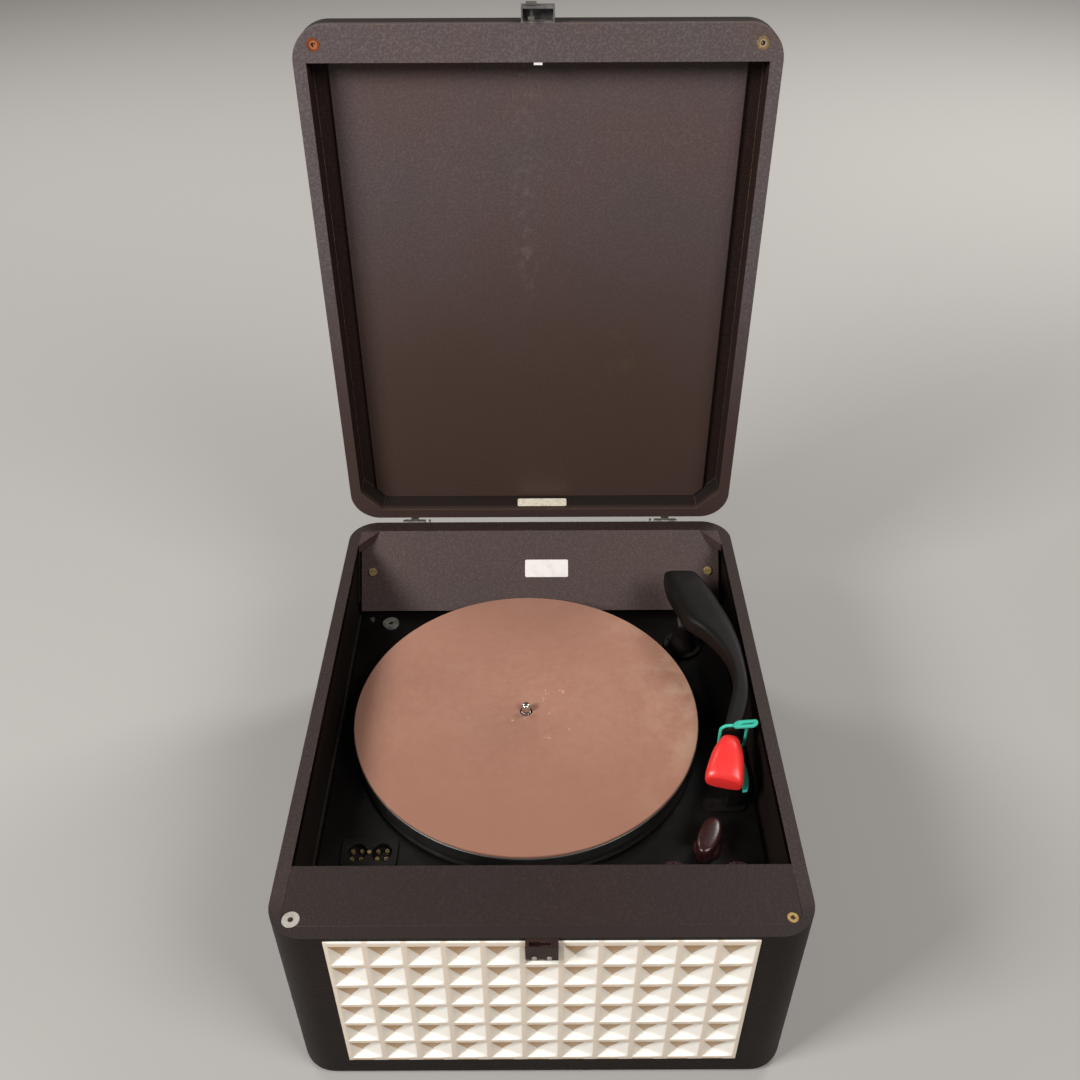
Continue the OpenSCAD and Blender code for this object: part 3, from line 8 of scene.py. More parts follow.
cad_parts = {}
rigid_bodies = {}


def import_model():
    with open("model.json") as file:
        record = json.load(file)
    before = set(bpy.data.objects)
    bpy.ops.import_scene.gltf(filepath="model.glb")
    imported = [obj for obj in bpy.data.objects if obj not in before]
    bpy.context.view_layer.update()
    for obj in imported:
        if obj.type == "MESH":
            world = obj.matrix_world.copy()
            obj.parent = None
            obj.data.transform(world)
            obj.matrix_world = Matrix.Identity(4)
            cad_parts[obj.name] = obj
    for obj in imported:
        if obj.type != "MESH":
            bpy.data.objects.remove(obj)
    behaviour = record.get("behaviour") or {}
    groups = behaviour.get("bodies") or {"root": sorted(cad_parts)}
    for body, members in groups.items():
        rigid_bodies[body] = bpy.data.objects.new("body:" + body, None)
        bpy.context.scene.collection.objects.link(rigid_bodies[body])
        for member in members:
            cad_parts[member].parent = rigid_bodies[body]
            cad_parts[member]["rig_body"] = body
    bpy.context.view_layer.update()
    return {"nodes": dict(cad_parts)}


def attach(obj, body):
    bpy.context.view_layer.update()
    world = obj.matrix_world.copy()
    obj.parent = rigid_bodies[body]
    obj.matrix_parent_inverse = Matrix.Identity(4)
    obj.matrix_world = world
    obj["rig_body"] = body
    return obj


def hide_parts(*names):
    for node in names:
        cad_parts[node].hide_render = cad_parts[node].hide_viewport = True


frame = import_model()
nodes = frame["nodes"]
print("frame loaded:", len(nodes), "nodes")

# pieces are worked out in millimetres about the middle of the case, and patterns, lamps and camera in metres
mm = 0.001
moveY = -18.73965  # from the case's middle to the model's origin, which lies under the middle of the open player


def nodeBody(name):
    return nodes[name]["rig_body"]


class Sock:
    # a socket or a plain number that can be used in sums
    def __init__(self, mat, out):
        self.mat, self.out = mat, out

    def calc(self, op, *others):
        vals = [self.out] + [o.out if isinstance(o, Sock) else o for o in others]
        return self.mat.node("ShaderNodeMath", {"operation": op}, dict(enumerate(vals)))

    def __add__(self, o): return self.calc("ADD", o)
    __radd__ = __add__

    def __mul__(self, o): return self.calc("MULTIPLY", o)
    __rmul__ = __mul__

    def __sub__(self, o): return self.calc("SUBTRACT", o)

    def __rsub__(self, o): return Sock(self.mat, o).calc("SUBTRACT", self)

    def __pow__(self, o): return self.calc("POWER", o)

    def __abs__(self): return self.calc("ABSOLUTE")

    def least(self, o): return self.calc("MINIMUM", o)

    def most(self, o): return self.calc("MAXIMUM", o)

    def band(self, lo, hi):
        # 0 below lo, 1 above hi, smooth between; turned round when lo is the larger
        ends = (lo, hi, 0.0, 1.0) if lo < hi else (hi, lo, 1.0, 0.0)
        return self.mat.node("ShaderNodeMapRange", {"interpolation_type": "SMOOTHSTEP"},
                             {0: self.out, 1: ends[0], 2: ends[1], 3: ends[2], 4: ends[3]})


class Paint:
    # one material: node() makes any node, the rest are short ways to the common ones
    def __init__(self, name, **fixed):
        self.mat = bpy.data.materials.new(name)
        self.mat.use_nodes = True
        self.tree = self.mat.node_tree
        self.bsdf = self.tree.nodes["Principled BSDF"]
        for key, value in fixed.items():
            self.bsdf.inputs[key.replace("_", " ")].default_value = value
        self.place = self.node("ShaderNodeTexCoord", {}, {}, "Object")

    def node(self, kind, settings, inputs, output=0):
        n = self.tree.nodes.new(kind)
        for key, value in settings.items():
            setattr(n, key, value)
        for key, value in inputs.items():
            v = value.out if isinstance(value, Sock) else value
            if isinstance(v, bpy.types.NodeSocket):
                self.tree.links.new(v, n.inputs[key])
            else:
                n.inputs[key].default_value = v
        return Sock(self, n.outputs[output])

    def spread(self, sx, sy, sz, turn=(0, 0, 0)):
        return self.node("ShaderNodeMapping", {},
                         {"Vector": self.place, "Scale": (sx, sy, sz), "Rotation": turn})

    def noise(self, scale, detail=3.0, rough=0.55, at=None):
        return self.node("ShaderNodeTexNoise", {}, {"Vector": at or self.place, "Scale": scale,
                                                    "Detail": detail, "Roughness": rough})

    def cells(self, scale, feature="F1", at=None):
        return self.node("ShaderNodeTexVoronoi", {"feature": feature},
                         {"Vector": at or self.place, "Scale": scale})

    def axis(self, letter):
        return self.node("ShaderNodeSeparateXYZ", {}, {0: self.place}, "XYZ".index(letter))

    def blend(self, amount, a, b):
        a, b = [(*c, 1) if isinstance(c, tuple) else c for c in (a, b)]
        return self.node("ShaderNodeMix", {"data_type": "RGBA"}, {0: amount, 6: a, 7: b}, 2)

    def bump(self, height, strength, depth):
        # depth is in metres
        return self.node("ShaderNodeBump", {}, {"Strength": strength, "Distance": depth, "Height": height})

    def finish(self, color=None, rough=None, normal=None, **others):
        pairs = {"Base Color": color, "Roughness": rough, "Normal": normal}
        pairs.update({k.replace("_", " "): v for k, v in others.items()})
        for key, value in pairs.items():
            if isinstance(value, Sock):
                self.tree.links.new(value.out, self.bsdf.inputs[key])
            elif value is not None:
                self.bsdf.inputs[key].default_value = (*value, 1) if isinstance(value, tuple) else value
        return self.mat


# tints below multiply base, and places are in metres about the model's origin
clothLook = dict(
    base=(0.026, 0.0195, 0.0175), warm=(1.25, 1.0, 0.85), pale=(2.3, 2.35, 2.4), outside=(0.62, 0.55, 0.52),
    worn=(0.34, 0.22, 0.1), rubbed=(0.12, 0.09, 0.075), dust=(0.3, 0.25, 0.21), stain=(0.085, 0.055, 0.028),
    scuff=(0.3, 0.26, 0.25), rust=(0.34, 0.11, 0.04), brass=(0.3, 0.22, 0.13), pit=(0.01, 0.006, 0.005),
    grain=620, bend=0.004, roughness=0.5, bump=0.55, bumpDepth=0.00035,
    lidLean=0.01746, rimBehind=(0.2125, 0.2185), holeX=0.168, holeZ=0.62557, holeR=(0.0047, 0.0043),
    pitR=(0.0022, 0.0014))


def tinted(tint, more=(1, 1, 1)):
    return tuple(np.multiply(np.multiply(clothLook["base"], tint), more))


def lowerTintStainAndScuff(p, color, low):
    # low = (tint, z from, z to): its colour farther down, with a stain at the right and a rubbed line in the middle
    c = clothLook
    down = (p.axis("Z") + p.noise(4, 3.0) * 0.12 - 0.06).band(low[2], low[1])
    color = p.blend(down, color, tinted(low[0]))
    stain = p.noise(14, 4.0, 0.65).band(0.56, 0.72) * p.axis("X").band(-0.02, 0.12)
    color = p.blend(stain * 0.45, color, c["stain"])
    line = abs(p.axis("X") + 0.012 + p.noise(9, 3.0) * 0.02 - 0.01).band(0.016, 0.0)
    scuff = line * p.noise(140, 3.0).band(0.45, 0.75)
    return p.blend(scuff * 0.1 * p.axis("Z").band(0.38, 0.46), color, c["scuff"])


def lidOutside(p, color):
    # the lid's painted light is lessened behind the open lid's rim, so the covering is darker there, and the rim's
    # two buffer holes are rusty at the left and brass at the right, with a dark middle
    c = clothLook
    outside = (p.axis("Y") - p.axis("Z") * c["lidLean"]).band(*c["rimBehind"])
    color = p.blend(outside, color, tinted(c["outside"]))
    x, z = abs(p.axis("X")) - c["holeX"], p.axis("Z") - c["holeZ"]
    far = (x * x + z * z) ** 0.5
    ring = p.blend(p.axis("X").band(-0.01, 0.01), c["rust"], c["brass"])
    ring = p.blend(far.band(*c["pitR"]) * p.noise(500, 1.0).band(0.35, 0.5), ring, c["pit"])
    return p.blend(far.band(*c["holeR"]) * (1 - outside), color, ring)


def leathercloth(name, tint=(1, 1, 1), wear=0.0, warm=0.15, low=None, gloss=0.3, holes=False, grain=0.35,
                 ahead=None):
    # pebbled grain: rounded cells with fine noise, brown clouds and a few pale dust specks;
    # ahead = (tint, y from, y to) is its colour towards the front
    p = Paint(name, Specular_IOR_Level=gloss)
    c = clothLook
    grainAt = p.node("ShaderNodeVectorMath", {"operation": "MULTIPLY_ADD"},
                     {0: p.noise(90, 2.0), 1: (c["bend"],) * 3, 2: p.place})
    pebble = p.cells(c["grain"], "SMOOTH_F1", grainAt)
    fine = p.noise(1500, 2.0)
    clouds = p.noise(7, 3.0).band(0.42, 0.72)
    color = p.blend(clouds * (0.35 + warm), tinted(tint), tinted(tint, c["warm"]))
    color = p.blend(pebble.band(0.25, 0.75) * grain, color, tinted(tint, c["pale"]))
    if low:
        color = lowerTintStainAndScuff(p, color, low)
    specks = p.cells(260).band(0.07, 0.04) * p.noise(30, 1.0).band(0.6, 0.7)
    color = p.blend(specks * 0.35, color, c["dust"])
    if wear:
        patches = p.noise(75, 4.0, 0.7).band(0.56, 0.66)
        color = p.blend(patches * wear, color, c["worn"])
        rub = p.noise(20, 3.0).band(0.35, 0.75)
        color = p.blend(rub * 0.35 * wear, color, c["rubbed"])
    if ahead:
        color = p.blend(p.axis("Y").band(ahead[1], ahead[2]), color, tinted(ahead[0]))
    if holes:
        color = lidOutside(p, color)
    rough = c["roughness"] + fine * 0.12 - clouds * 0.05
    height = (1 - pebble) + fine * 0.3
    return p.finish(color, rough, p.bump(height, c["bump"], c["bumpDepth"]))


def blackEnamel(name, dust=0.35, gloss=0.2, rough=0.3):
    # black paint under a brownish film of dust, with lint and wiping marks
    p = Paint(name, Specular_IOR_Level=gloss)
    dustFilmAndPaintedShade = p.noise(12, 4.0, 0.6).band(0.4, 0.75)
    lint = p.cells(340).band(0.09, 0.03) * p.noise(26, 2.0).band(0.52, 0.62)
    color = p.blend(dustFilmAndPaintedShade * dust, (0.0034, 0.0028, 0.0025), (0.011, 0.0083, 0.007))
    color = p.blend(lint * 0.3, color, (0.12, 0.1, 0.09))
    scuff = p.noise(60, 3.0, 0.6, p.spread(1, 6, 1, (0, 0, 0.6))).band(0.62, 0.7)
    return p.finish(color, rough + dustFilmAndPaintedShade * 0.22 + scuff * 0.15, p.bump(p.noise(900, 2.0), 0.08, 0.0002))


def matRubber(name, t):
    # dusty rubber: mottled bloom, pale patches at the right, stains, chalky marks near the pin, a chipped edge,
    # painted shade in front and painted light behind; the bump has fine rings from 50 mm outwards
    p = Paint(name, Specular_IOR_Level=0.3)
    radius = t["radius"]
    x, y = p.axis("X") - t["x"] * mm, p.axis("Y") - (t["y"] + moveY) * mm
    far = (x * x + y * y) ** 0.5
    color = p.blend(p.noise(11, 5.0, 0.62).band(0.32, 0.72), t["dull"], t["bloom"])
    mottling = p.noise(160, 3.0, 0.7).band(0.35, 0.7)
    color = p.blend(mottling * 0.22, color, t["mottled"])
    right = (x * 0.9 + y * 0.1).band(0.02, 0.12) * far.band(radius * mm * 0.45, radius * mm)
    color = p.blend(right * 0.5 * p.noise(26, 4.0, 0.65).band(0.42, 0.68), color, t["patch"])
    stain = p.noise(34, 5.0, 0.7).band(0.58, 0.7)
    color = p.blend(stain * 0.3, color, t["stain"])
    near = far.band(0.07, 0.015) * p.noise(95, 4.0, 0.7).band(0.63, 0.69)
    color = p.blend(near * 0.7, color, t["chalk"])
    chips = far.band((radius - 1.6) * mm, radius * mm) * p.noise(45, 3.0).band(0.5, 0.6)
    color = p.blend(chips * 0.7, color, t["chip"])
    # painted shade over the mat's front and painted light over its back, so that it looks evenly lit
    color = p.blend(y.band(0.02, -0.14) * 0.8, color, t["front"])
    color = p.blend(y.band(0.02, 0.13) * 0.35, color, t["behind"])
    rings = (far * t["ringWave"]).calc("SINE")
    height = rings * 0.12 * far.band(0.05, 0.052) + mottling * 0.4 + p.noise(700, 2.0) * 0.5
    return p.finish(color, 0.72 + mottling * 0.12, p.bump(height, 0.3, 0.00025))


def phenolic(name, dark, light, rough, dust=0.3, shine=0.45):
    # two browns that flow into each other under a haze of dust
    p = Paint(name, Specular_IOR_Level=shine)
    flow = p.noise(26, 4.0, 0.6).band(0.35, 0.7)
    haze = p.noise(75, 4.0, 0.7).band(0.5, 0.8)
    color = p.blend(flow, dark, light)
    color = p.blend(haze * dust, color, (0.11, 0.085, 0.075))
    return p.finish(color, rough + haze * 0.2, p.bump(p.noise(420, 3.0), 0.12, 0.0002))


def moulding(name, base, shade, rough=0.32, grime=0.25):
    # plastic with faint flow marks and grime that lies in soft clouds
    p = Paint(name, Specular_IOR_Level=0.5)
    clouds = p.noise(35, 4.0, 0.6).band(0.45, 0.8)
    color = p.blend(clouds * grime, base, shade)
    specks = p.cells(300).band(0.08, 0.04) * p.noise(40, 1.0).band(0.6, 0.68)
    color = p.blend(specks * 0.35, color, shade)
    return p.finish(color, rough + clouds * 0.12, p.bump(p.noise(260, 2.0), 0.06, 0.0002))


def pocketPlastic(name, g):
    # cream plastic with painted shade in its pockets: a brown painted shadow on each pocket's upper facet and a beige
    # painted shade on the bars, rims and left facets; u and v run from -1 to 1 over a pocket, and the painted shadow
    # lies where the upper facet's share is less than those of the lines beside it
    p = Paint(name, Specular_IOR_Level=0.06)
    pitchX, pitchZ = pocketPitch(g)

    def cell(place, start, pitch):
        part = ((place - start * mm) * (1000 / pitch)).calc("FRACT")
        return (part - 0.5) * (2 * pitch / (pitch - g["bar"]))
    u = cell(p.axis("X"), g["left"] + g["sideEdge"], pitchX)
    v = cell(p.axis("Z"), g["low"] + g["lowEdge"], pitchZ)
    ax, az = 2 * g["apexX"], 2 * g["apexZ"]
    down, up = (1 - v) * (1 / (1 - az)), (v + 1) * (1 / (1 + az))
    fromLeft = (u + 1) * (1 / (1 + ax))
    beside = fromLeft.least((g["paintedShadowTo"] - u) * (1 / (g["paintedShadowTo"] - ax)))
    # painted shadow: each pocket's upper facet, up to its right bound, is coloured brown
    shadedFacet = (beside - down).band(-0.03, 0.08) * v.band(1.04, 0.99) * (1 - down * 0.25)
    leftFacet = (down.least(up) - fromLeft).band(-0.04, 0.06)
    clouds = p.noise(35, 4.0, 0.6).band(0.45, 0.8)
    color = p.blend(clouds * 0.1, g["cream"], g["dirtAndPaintedShade"])
    # painted shade: the bars, the pockets' rims and, more faintly, their left facets take the darker beige
    edge = (abs(u).most(abs(v))).band(0.95, 1.03)
    color = p.blend(edge.most(leftFacet * 0.6) * 0.85, color, g["dirtAndPaintedShade"])
    color = p.blend(shadedFacet, color, g["dustFilmAndPaintedShade"])
    return p.finish(color, 0.36 + clouds * 0.12, p.bump(p.noise(260, 2.0), 0.06, 0.0002))


def metal(name, base, tarnish, rough, amount=0.6, full=1.0):
    # bare metal with soft tarnish spots and brushed streaks
    p = Paint(name, Metallic=full)
    spots = p.noise(120, 4.0, 0.65).band(0.4, 0.7)
    streaks = p.noise(400, 2.0, 0.5, p.spread(1, 14, 1))
    color = p.blend(spots * amount, base, tarnish)
    return p.finish(color, rough + spots * 0.2 + streaks * 0.08, p.bump(streaks, 0.12, 0.0001))


def plain(name, base, other, rough, scale=60, grain=(1, 1, 1)):
    # two colours in clouds or, with a stretched grain, in veins
    p = Paint(name)
    veins = p.noise(scale, 4.0, 0.6, p.spread(*grain)).band(0.35, 0.7)
    return p.finish(p.blend(veins, base, other), rough, p.bump(veins, 0.25, 0.0003))


def glassBulb(name):
    p = Paint(name, Transmission_Weight=1.0, IOR=1.45)
    return p.finish((0.9, 0.95, 0.93), 0.03 + p.noise(60, 3.0) * 0.06)


def cardAndRings(name):
    # bare card behind, white metal ring at the left and brass eyelet at the right are one node, told by place
    p = Paint(name)
    stain = p.noise(120, 4.0, 0.6).band(0.45, 0.8)
    card = p.blend(stain * 0.4, (0.74, 0.7, 0.68), (0.52, 0.44, 0.38))
    ring = p.blend(stain, (0.5, 0.47, 0.42), (0.24, 0.2, 0.15))
    eyelet = p.blend(stain, (0.4, 0.27, 0.1), (0.15, 0.08, 0.035))
    isCard = p.axis("Y").band(0.0, 0.01)
    trim = p.blend(p.axis("X").band(-0.01, 0.01), ring, eyelet)
    return p.finish(p.blend(isCard, trim, card), 0.5, p.bump(p.noise(800, 2.0), 0.1, 0.0001),
                    Metallic=(1 - isCard) * 0.8)


def strikePaint(name):
    # dark brown enamel, with bare metal on the two rivets painted bright as a painted highlight, and rubbed on the
    # lower edge
    p = Paint(name, Specular_IOR_Level=0.35)
    x, z = abs(p.axis("X")) - 0.005, p.axis("Z") - 0.1755
    rivetMetalAndHighlight = ((x * x + z * z) ** 0.5).band(0.0019, 0.0016)
    chips = p.noise(240, 3.0, 0.7).band(0.55, 0.62) * p.axis("Z").band(0.1745, 0.1725)
    color = p.blend(p.noise(90, 3.0).band(0.35, 0.7), (0.024, 0.009, 0.006), (0.013, 0.005, 0.004))
    color = p.blend(rivetMetalAndHighlight.most(chips * 0.8), color, (0.42, 0.39, 0.34))
    return p.finish(color, 0.42, p.bump(p.noise(300, 2.0), 0.08, 0.0002), Metallic=rivetMetalAndHighlight * 0.5)


def lidMetals(name):
    # bare plate low in the lid, rusty ring at the left, brass ring at the right, pale clip, dark housing
    p = Paint(name)
    spots = p.noise(170, 4.0, 0.65).band(0.42, 0.68)
    plate = p.blend(spots * 0.5, (0.78, 0.73, 0.6), (0.46, 0.38, 0.24))
    housing = p.blend(spots, (0.085, 0.08, 0.08), (0.14, 0.13, 0.13))
    rust = p.blend(spots, (0.3, 0.075, 0.025), (0.13, 0.04, 0.02))
    brass = p.blend(spots, (0.36, 0.25, 0.1), (0.1, 0.06, 0.03))
    clip = p.blend(spots * 0.4, (0.75, 0.73, 0.7), (0.4, 0.38, 0.34))
    x, z = p.axis("X"), p.axis("Z")
    high, side = z.band(0.4, 0.41), abs(x).band(0.1, 0.11)
    middle = p.blend(z.band(0.6165, 0.6175), clip, housing)
    ring = p.blend(x.band(-0.01, 0.01), rust, brass)
    color = p.blend(high, plate, p.blend(side, middle, ring))
    return p.finish(color, 0.42 + spots * 0.15, p.bump(spots, 0.15, 0.0001), Metallic=high * side * 0.6)


look = {
    "cloth": leathercloth("leathercloth"),
    "caseCloth": leathercloth("caseCloth", (0.38, 0.33, 0.3), gloss=0.12),
    # painted shade: the lid's inner sides and its floor beside the panel, and the well's inner sides, are cloth
    # painted dark
    "lidShade": leathercloth("lidShadeCloth", (0.86, 0.66, 0.64), gloss=0.15),
    "shade": leathercloth("shadeCloth", (0.05, 0.035, 0.03), gloss=0.04),
    # painted light: the case's upward rim faces are its cloth painted lighter than its sides
    "paintedLightRimCloth": leathercloth("paintedLightRimCloth", (0.85, 0.7, 0.7), ahead=((0.6, 0.45, 0.43), -0.212, -0.232)),
    "clothEdge": leathercloth("leatherclothEdge", (1.0, 0.86, 0.8), wear=0.9,
                              ahead=((0.5, 0.38, 0.36), -0.212, -0.232)),
    "lipCloth": leathercloth("lipCloth", (0.55, 0.41, 0.395)),
    # painted light: the lid's covering, its rounded edges and its panel are the case's cloth painted several times
    # lighter, and darker and browner farther down; the edges are also worn
    "paintedLightLidCloth": leathercloth("paintedLightLidCloth", (2.75, 2.95, 3.4), low=((1.75, 1.35, 1.25), 0.26, 0.5), holes=True),
    "paintedLightAndWornLidEdge": leathercloth("paintedLightAndWornLidEdge", (3.6, 3.5, 3.4), wear=0.6, low=((3.2, 2.6, 2.1), 0.26, 0.5)),
    "paintedLightLidPanel": leathercloth("paintedLightLidPanelCloth", (2.55, 2.5, 2.82), warm=0.3, grain=0.2,
                             low=((1.95, 1.5, 1.33), 0.3, 0.56)),
    "well": leathercloth("wellCloth", (1.75, 1.5, 1.56)),
    "enamel": blackEnamel("blackEnamel"),
    "darkWood": plain("stainedWood", (0.012, 0.008, 0.005), (0.03, 0.018, 0.01), 0.8, 30, (1, 9, 9)),
    "lidMetals": lidMetals("lidMetals"),
    "platter": blackEnamel("platterEnamel", 0.2, 1.0, 0.38),
    "phenolic": phenolic("darkPhenolic", (0.0036, 0.0027, 0.0022), (0.006, 0.0038, 0.003), 0.5, 0.04, 0.25),
    "knob": phenolic("brownPhenolic", (0.017, 0.0052, 0.0048), (0.03, 0.0085, 0.0075), 0.27, 0.1),
    "red": moulding("redPlastic", (0.72, 0.03, 0.027), (0.45, 0.014, 0.013), 0.32, 0.15),
    "tie": moulding("greenRubber", (0.045, 0.5, 0.37), (0.03, 0.3, 0.23), 0.42, 0.3),
    "rubber": plain("blackRubber", (0.02, 0.019, 0.018), (0.05, 0.046, 0.042), 0.75, 90),
    "greyRubber": plain("greyRubber", (0.1, 0.098, 0.09), (0.2, 0.19, 0.17), 0.7, 140),
    "steel": metal("plainSteel", (0.55, 0.55, 0.54), (0.28, 0.25, 0.21), 0.32, 0.4),
    "bright": metal("brightSteel", (0.72, 0.71, 0.69), (0.4, 0.36, 0.3), 0.14, 0.3),
    "dull": metal("dullSteel", (0.26, 0.25, 0.22), (0.1, 0.085, 0.07), 0.42, 0.8),
    "brass": metal("agedBrass", (0.36, 0.26, 0.11), (0.16, 0.1, 0.045), 0.4, 0.8, 0.7),
    "aluminium": metal("chassisAluminium", (0.72, 0.73, 0.74), (0.5, 0.5, 0.49), 0.35, 0.4),
    "brownEnamel": plain("brownEnamel", (0.024, 0.009, 0.006), (0.012, 0.005, 0.004), 0.45, 90),
    "strike": strikePaint("strikeEnamel"),
    "wood": plain("plywood", (0.38, 0.22, 0.11), (0.5, 0.33, 0.18), 0.7, 30, (1, 9, 9)),
    "speakerCloth": plain("speakerCloth", (0.12, 0.06, 0.025), (0.22, 0.12, 0.055), 0.85, 900),
    "cone": plain("conePaper", (0.02, 0.018, 0.016), (0.05, 0.045, 0.04), 0.9, 200),
    "copper": plain("tapedWinding", (0.3, 0.09, 0.03), (0.42, 0.16, 0.07), 0.5, 500, (1, 1, 12)),
    "glass": glassBulb("valveGlass"),
    "trim": cardAndRings("cardAndRings"),
}
print("materials made:", len(look))


def intoScene(name, mesh, body, mats, stands=(), smooth=40):
    # stands are the CAD nodes that the piece replaces
    mesh.validate()
    mesh.shade_smooth()
    mesh.set_sharp_from_angle(angle=radians(smooth))
    obj = bpy.data.objects.new(name, mesh)
    bpy.context.scene.collection.objects.link(obj)
    for m in mats:
        mesh.materials.append(look[m])
    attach(obj, body)
    if stands:
        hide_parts(*stands)
    return obj


def surface(name, points, body, mats, stands=(), closeU=False, closeV=False, ends=False, smooth=40):
    # a grid of points (rows, columns, 3) becomes quads; rows and columns may join up, ends may be capped
    rows, cols = points.shape[:2]
    index = np.arange(rows * cols).reshape(rows, cols)
    if closeU:
        index = np.vstack([index, index[:1]])
    if closeV:
        index = np.hstack([index, index[:, :1]])
    quads = np.stack([index[:-1, :-1], index[:-1, 1:], index[1:, 1:], index[1:, :-1]], -1).reshape(-1, 4)
    faces = quads.tolist()
    if ends:
        faces += [np.arange(cols)[::-1].tolist(), (np.arange(cols) + (rows - 1) * cols).tolist()]
    mesh = bpy.data.meshes.new(name)
    mesh.from_pydata(((points.reshape(-1, 3) + (0, moveY, 0)) * mm).tolist(), [], faces)
    mended(mesh)
    return intoScene(name, mesh, body, mats, stands, smooth)


def mended(mesh):
    # doubles merged, faces turned outwards
    bm = bmesh.new()
    bm.from_mesh(mesh)
    bmesh.ops.remove_doubles(bm, verts=bm.verts, dist=1e-6)
    bmesh.ops.recalc_face_normals(bm, faces=bm.faces)
    bm.to_mesh(mesh)
    bm.free()


def softened(node, mats, width, groups=(), angle=32):
    # a merged copy of a CAD node with its sharp edges rounded; the rounded strip takes the last material
    mesh = nodes[node].data.copy()
    mesh.materials.clear()
    bm = bmesh.new()
    bm.from_mesh(mesh)
    bmesh.ops.remove_doubles(bm, verts=bm.verts, dist=2e-6)
    bmesh.ops.dissolve_limit(bm, angle_limit=radians(0.6), verts=bm.verts, edges=bm.edges)
    bm.to_mesh(mesh)
    bm.free()
    obj = intoScene(node + ".soft", mesh, nodeBody(node), mats, (node,), angle)
    edge = obj.modifiers.new("roundedEdges", "BEVEL")
    edge.width = width * mm
    edge.segments = 3
    edge.limit_method = "ANGLE"
    edge.angle_limit = radians(angle)
    edge.use_clamp_overlap = True
    edge.harden_normals = True
    if len(mats) > 1:
        edge.material = len(mats) - 1
    if groups:
        paintFaces(obj.data, groups)
    return obj


def paintFaces(mesh, groups):
    # each group is (material, x within, y from, y to, z from, z to, way) in metres, and way is "in" for sides
    # that look to the middle, "up" or "front"
    count = len(mesh.polygons)
    mid, normal = np.empty(count * 3), np.empty(count * 3)
    mesh.polygons.foreach_get("center", mid)
    mesh.polygons.foreach_get("normal", normal)
    (x, y, z), n = mid.reshape(-1, 3).T, normal.reshape(-1, 3).T
    ways = {"in": (n[0] * x < 0) & (abs(n[0]) > 0.5), "up": n[2] > 0.5, "front": n[1] < -0.5}
    index = np.zeros(count, np.int32)
    for material, wide, y0, y1, z0, z1, way in groups:
        index[(abs(x) < wide) & (y > y0) & (y < y1) & (z > z0) & (z < z1) & ways[way]] = material
    mesh.polygons.foreach_set("material_index", index)


def lathe(name, profile, centre, body, mats, stands=(), turns=160):
    # a closed (radius, height) profile turned about an upright axis
    prof = np.array(profile, float)
    a = np.linspace(0, 2 * pi, turns, endpoint=False)
    pts = np.empty((turns, len(prof), 3))
    pts[..., 0] = centre[0] + np.cos(a)[:, None] * prof[:, 0]
    pts[..., 1] = centre[1] + np.sin(a)[:, None] * prof[:, 0]
    pts[..., 2] = prof[:, 1]
    return surface(name, pts, body, mats, stands, closeU=True, closeV=True)


def arc(cx, cz, r, a0, a1, n=6):
    # points on part of a circle, from angle a0 to a1 in degrees
    a = np.radians(np.linspace(a0, a1, n))
    return np.column_stack([cx + r * np.cos(a), cz + r * np.sin(a)]).tolist()


def smoothRows(rows, count):
    # a cubic curve through the rows, at evenly spaced places: its slope at a row is half the step between that
    # row's two neighbours
    r = np.array(rows, float)
    t = np.linspace(0, len(r) - 1, count)
    i = np.minimum(t.astype(int), len(r) - 2)
    f = (t - i)[:, None]
    a, b = r[np.maximum(i - 1, 0)], r[i]
    c, d = r[i + 1], r[np.minimum(i + 2, len(r) - 1)]
    return (b + f * (c - a) / 2 + f ** 2 * (a - 2.5 * b + 2 * c - d / 2)
            + f ** 3 * (1.5 * b - 1.5 * c + d / 2 - a / 2))


def boxy(power, n):
    # superellipse: |x|^power + |y|^power = 1, a unit square whose corners are rounder the lower the power
    a = np.linspace(0, 2 * pi, n, endpoint=False)
    c, s = np.cos(a), np.sin(a)
    return np.sign(c) * abs(c) ** (2 / power), np.sign(s) * abs(s) ** (2 / power)


# case and lid: the inner sides of the well and of the lid, and the lid's floor beside its panel, are dull and painted
# very dark as painted shade, and the case's upward rim faces are painted lighter than its sides as painted light
faceGroups = {
    "case_walls": ((1, 0.1765, -0.19, 0.2, 0.11, 0.187, "in"), (2, 0.2, -0.3, 0.3, 0.18, 0.2, "up")),
    "lid_shell": ((1, 0.1765, 0.1, 0.5, 0.22, 0.66, "in"), (1, 0.1765, 0.228, 0.5, 0.22, 0.64, "front"))}
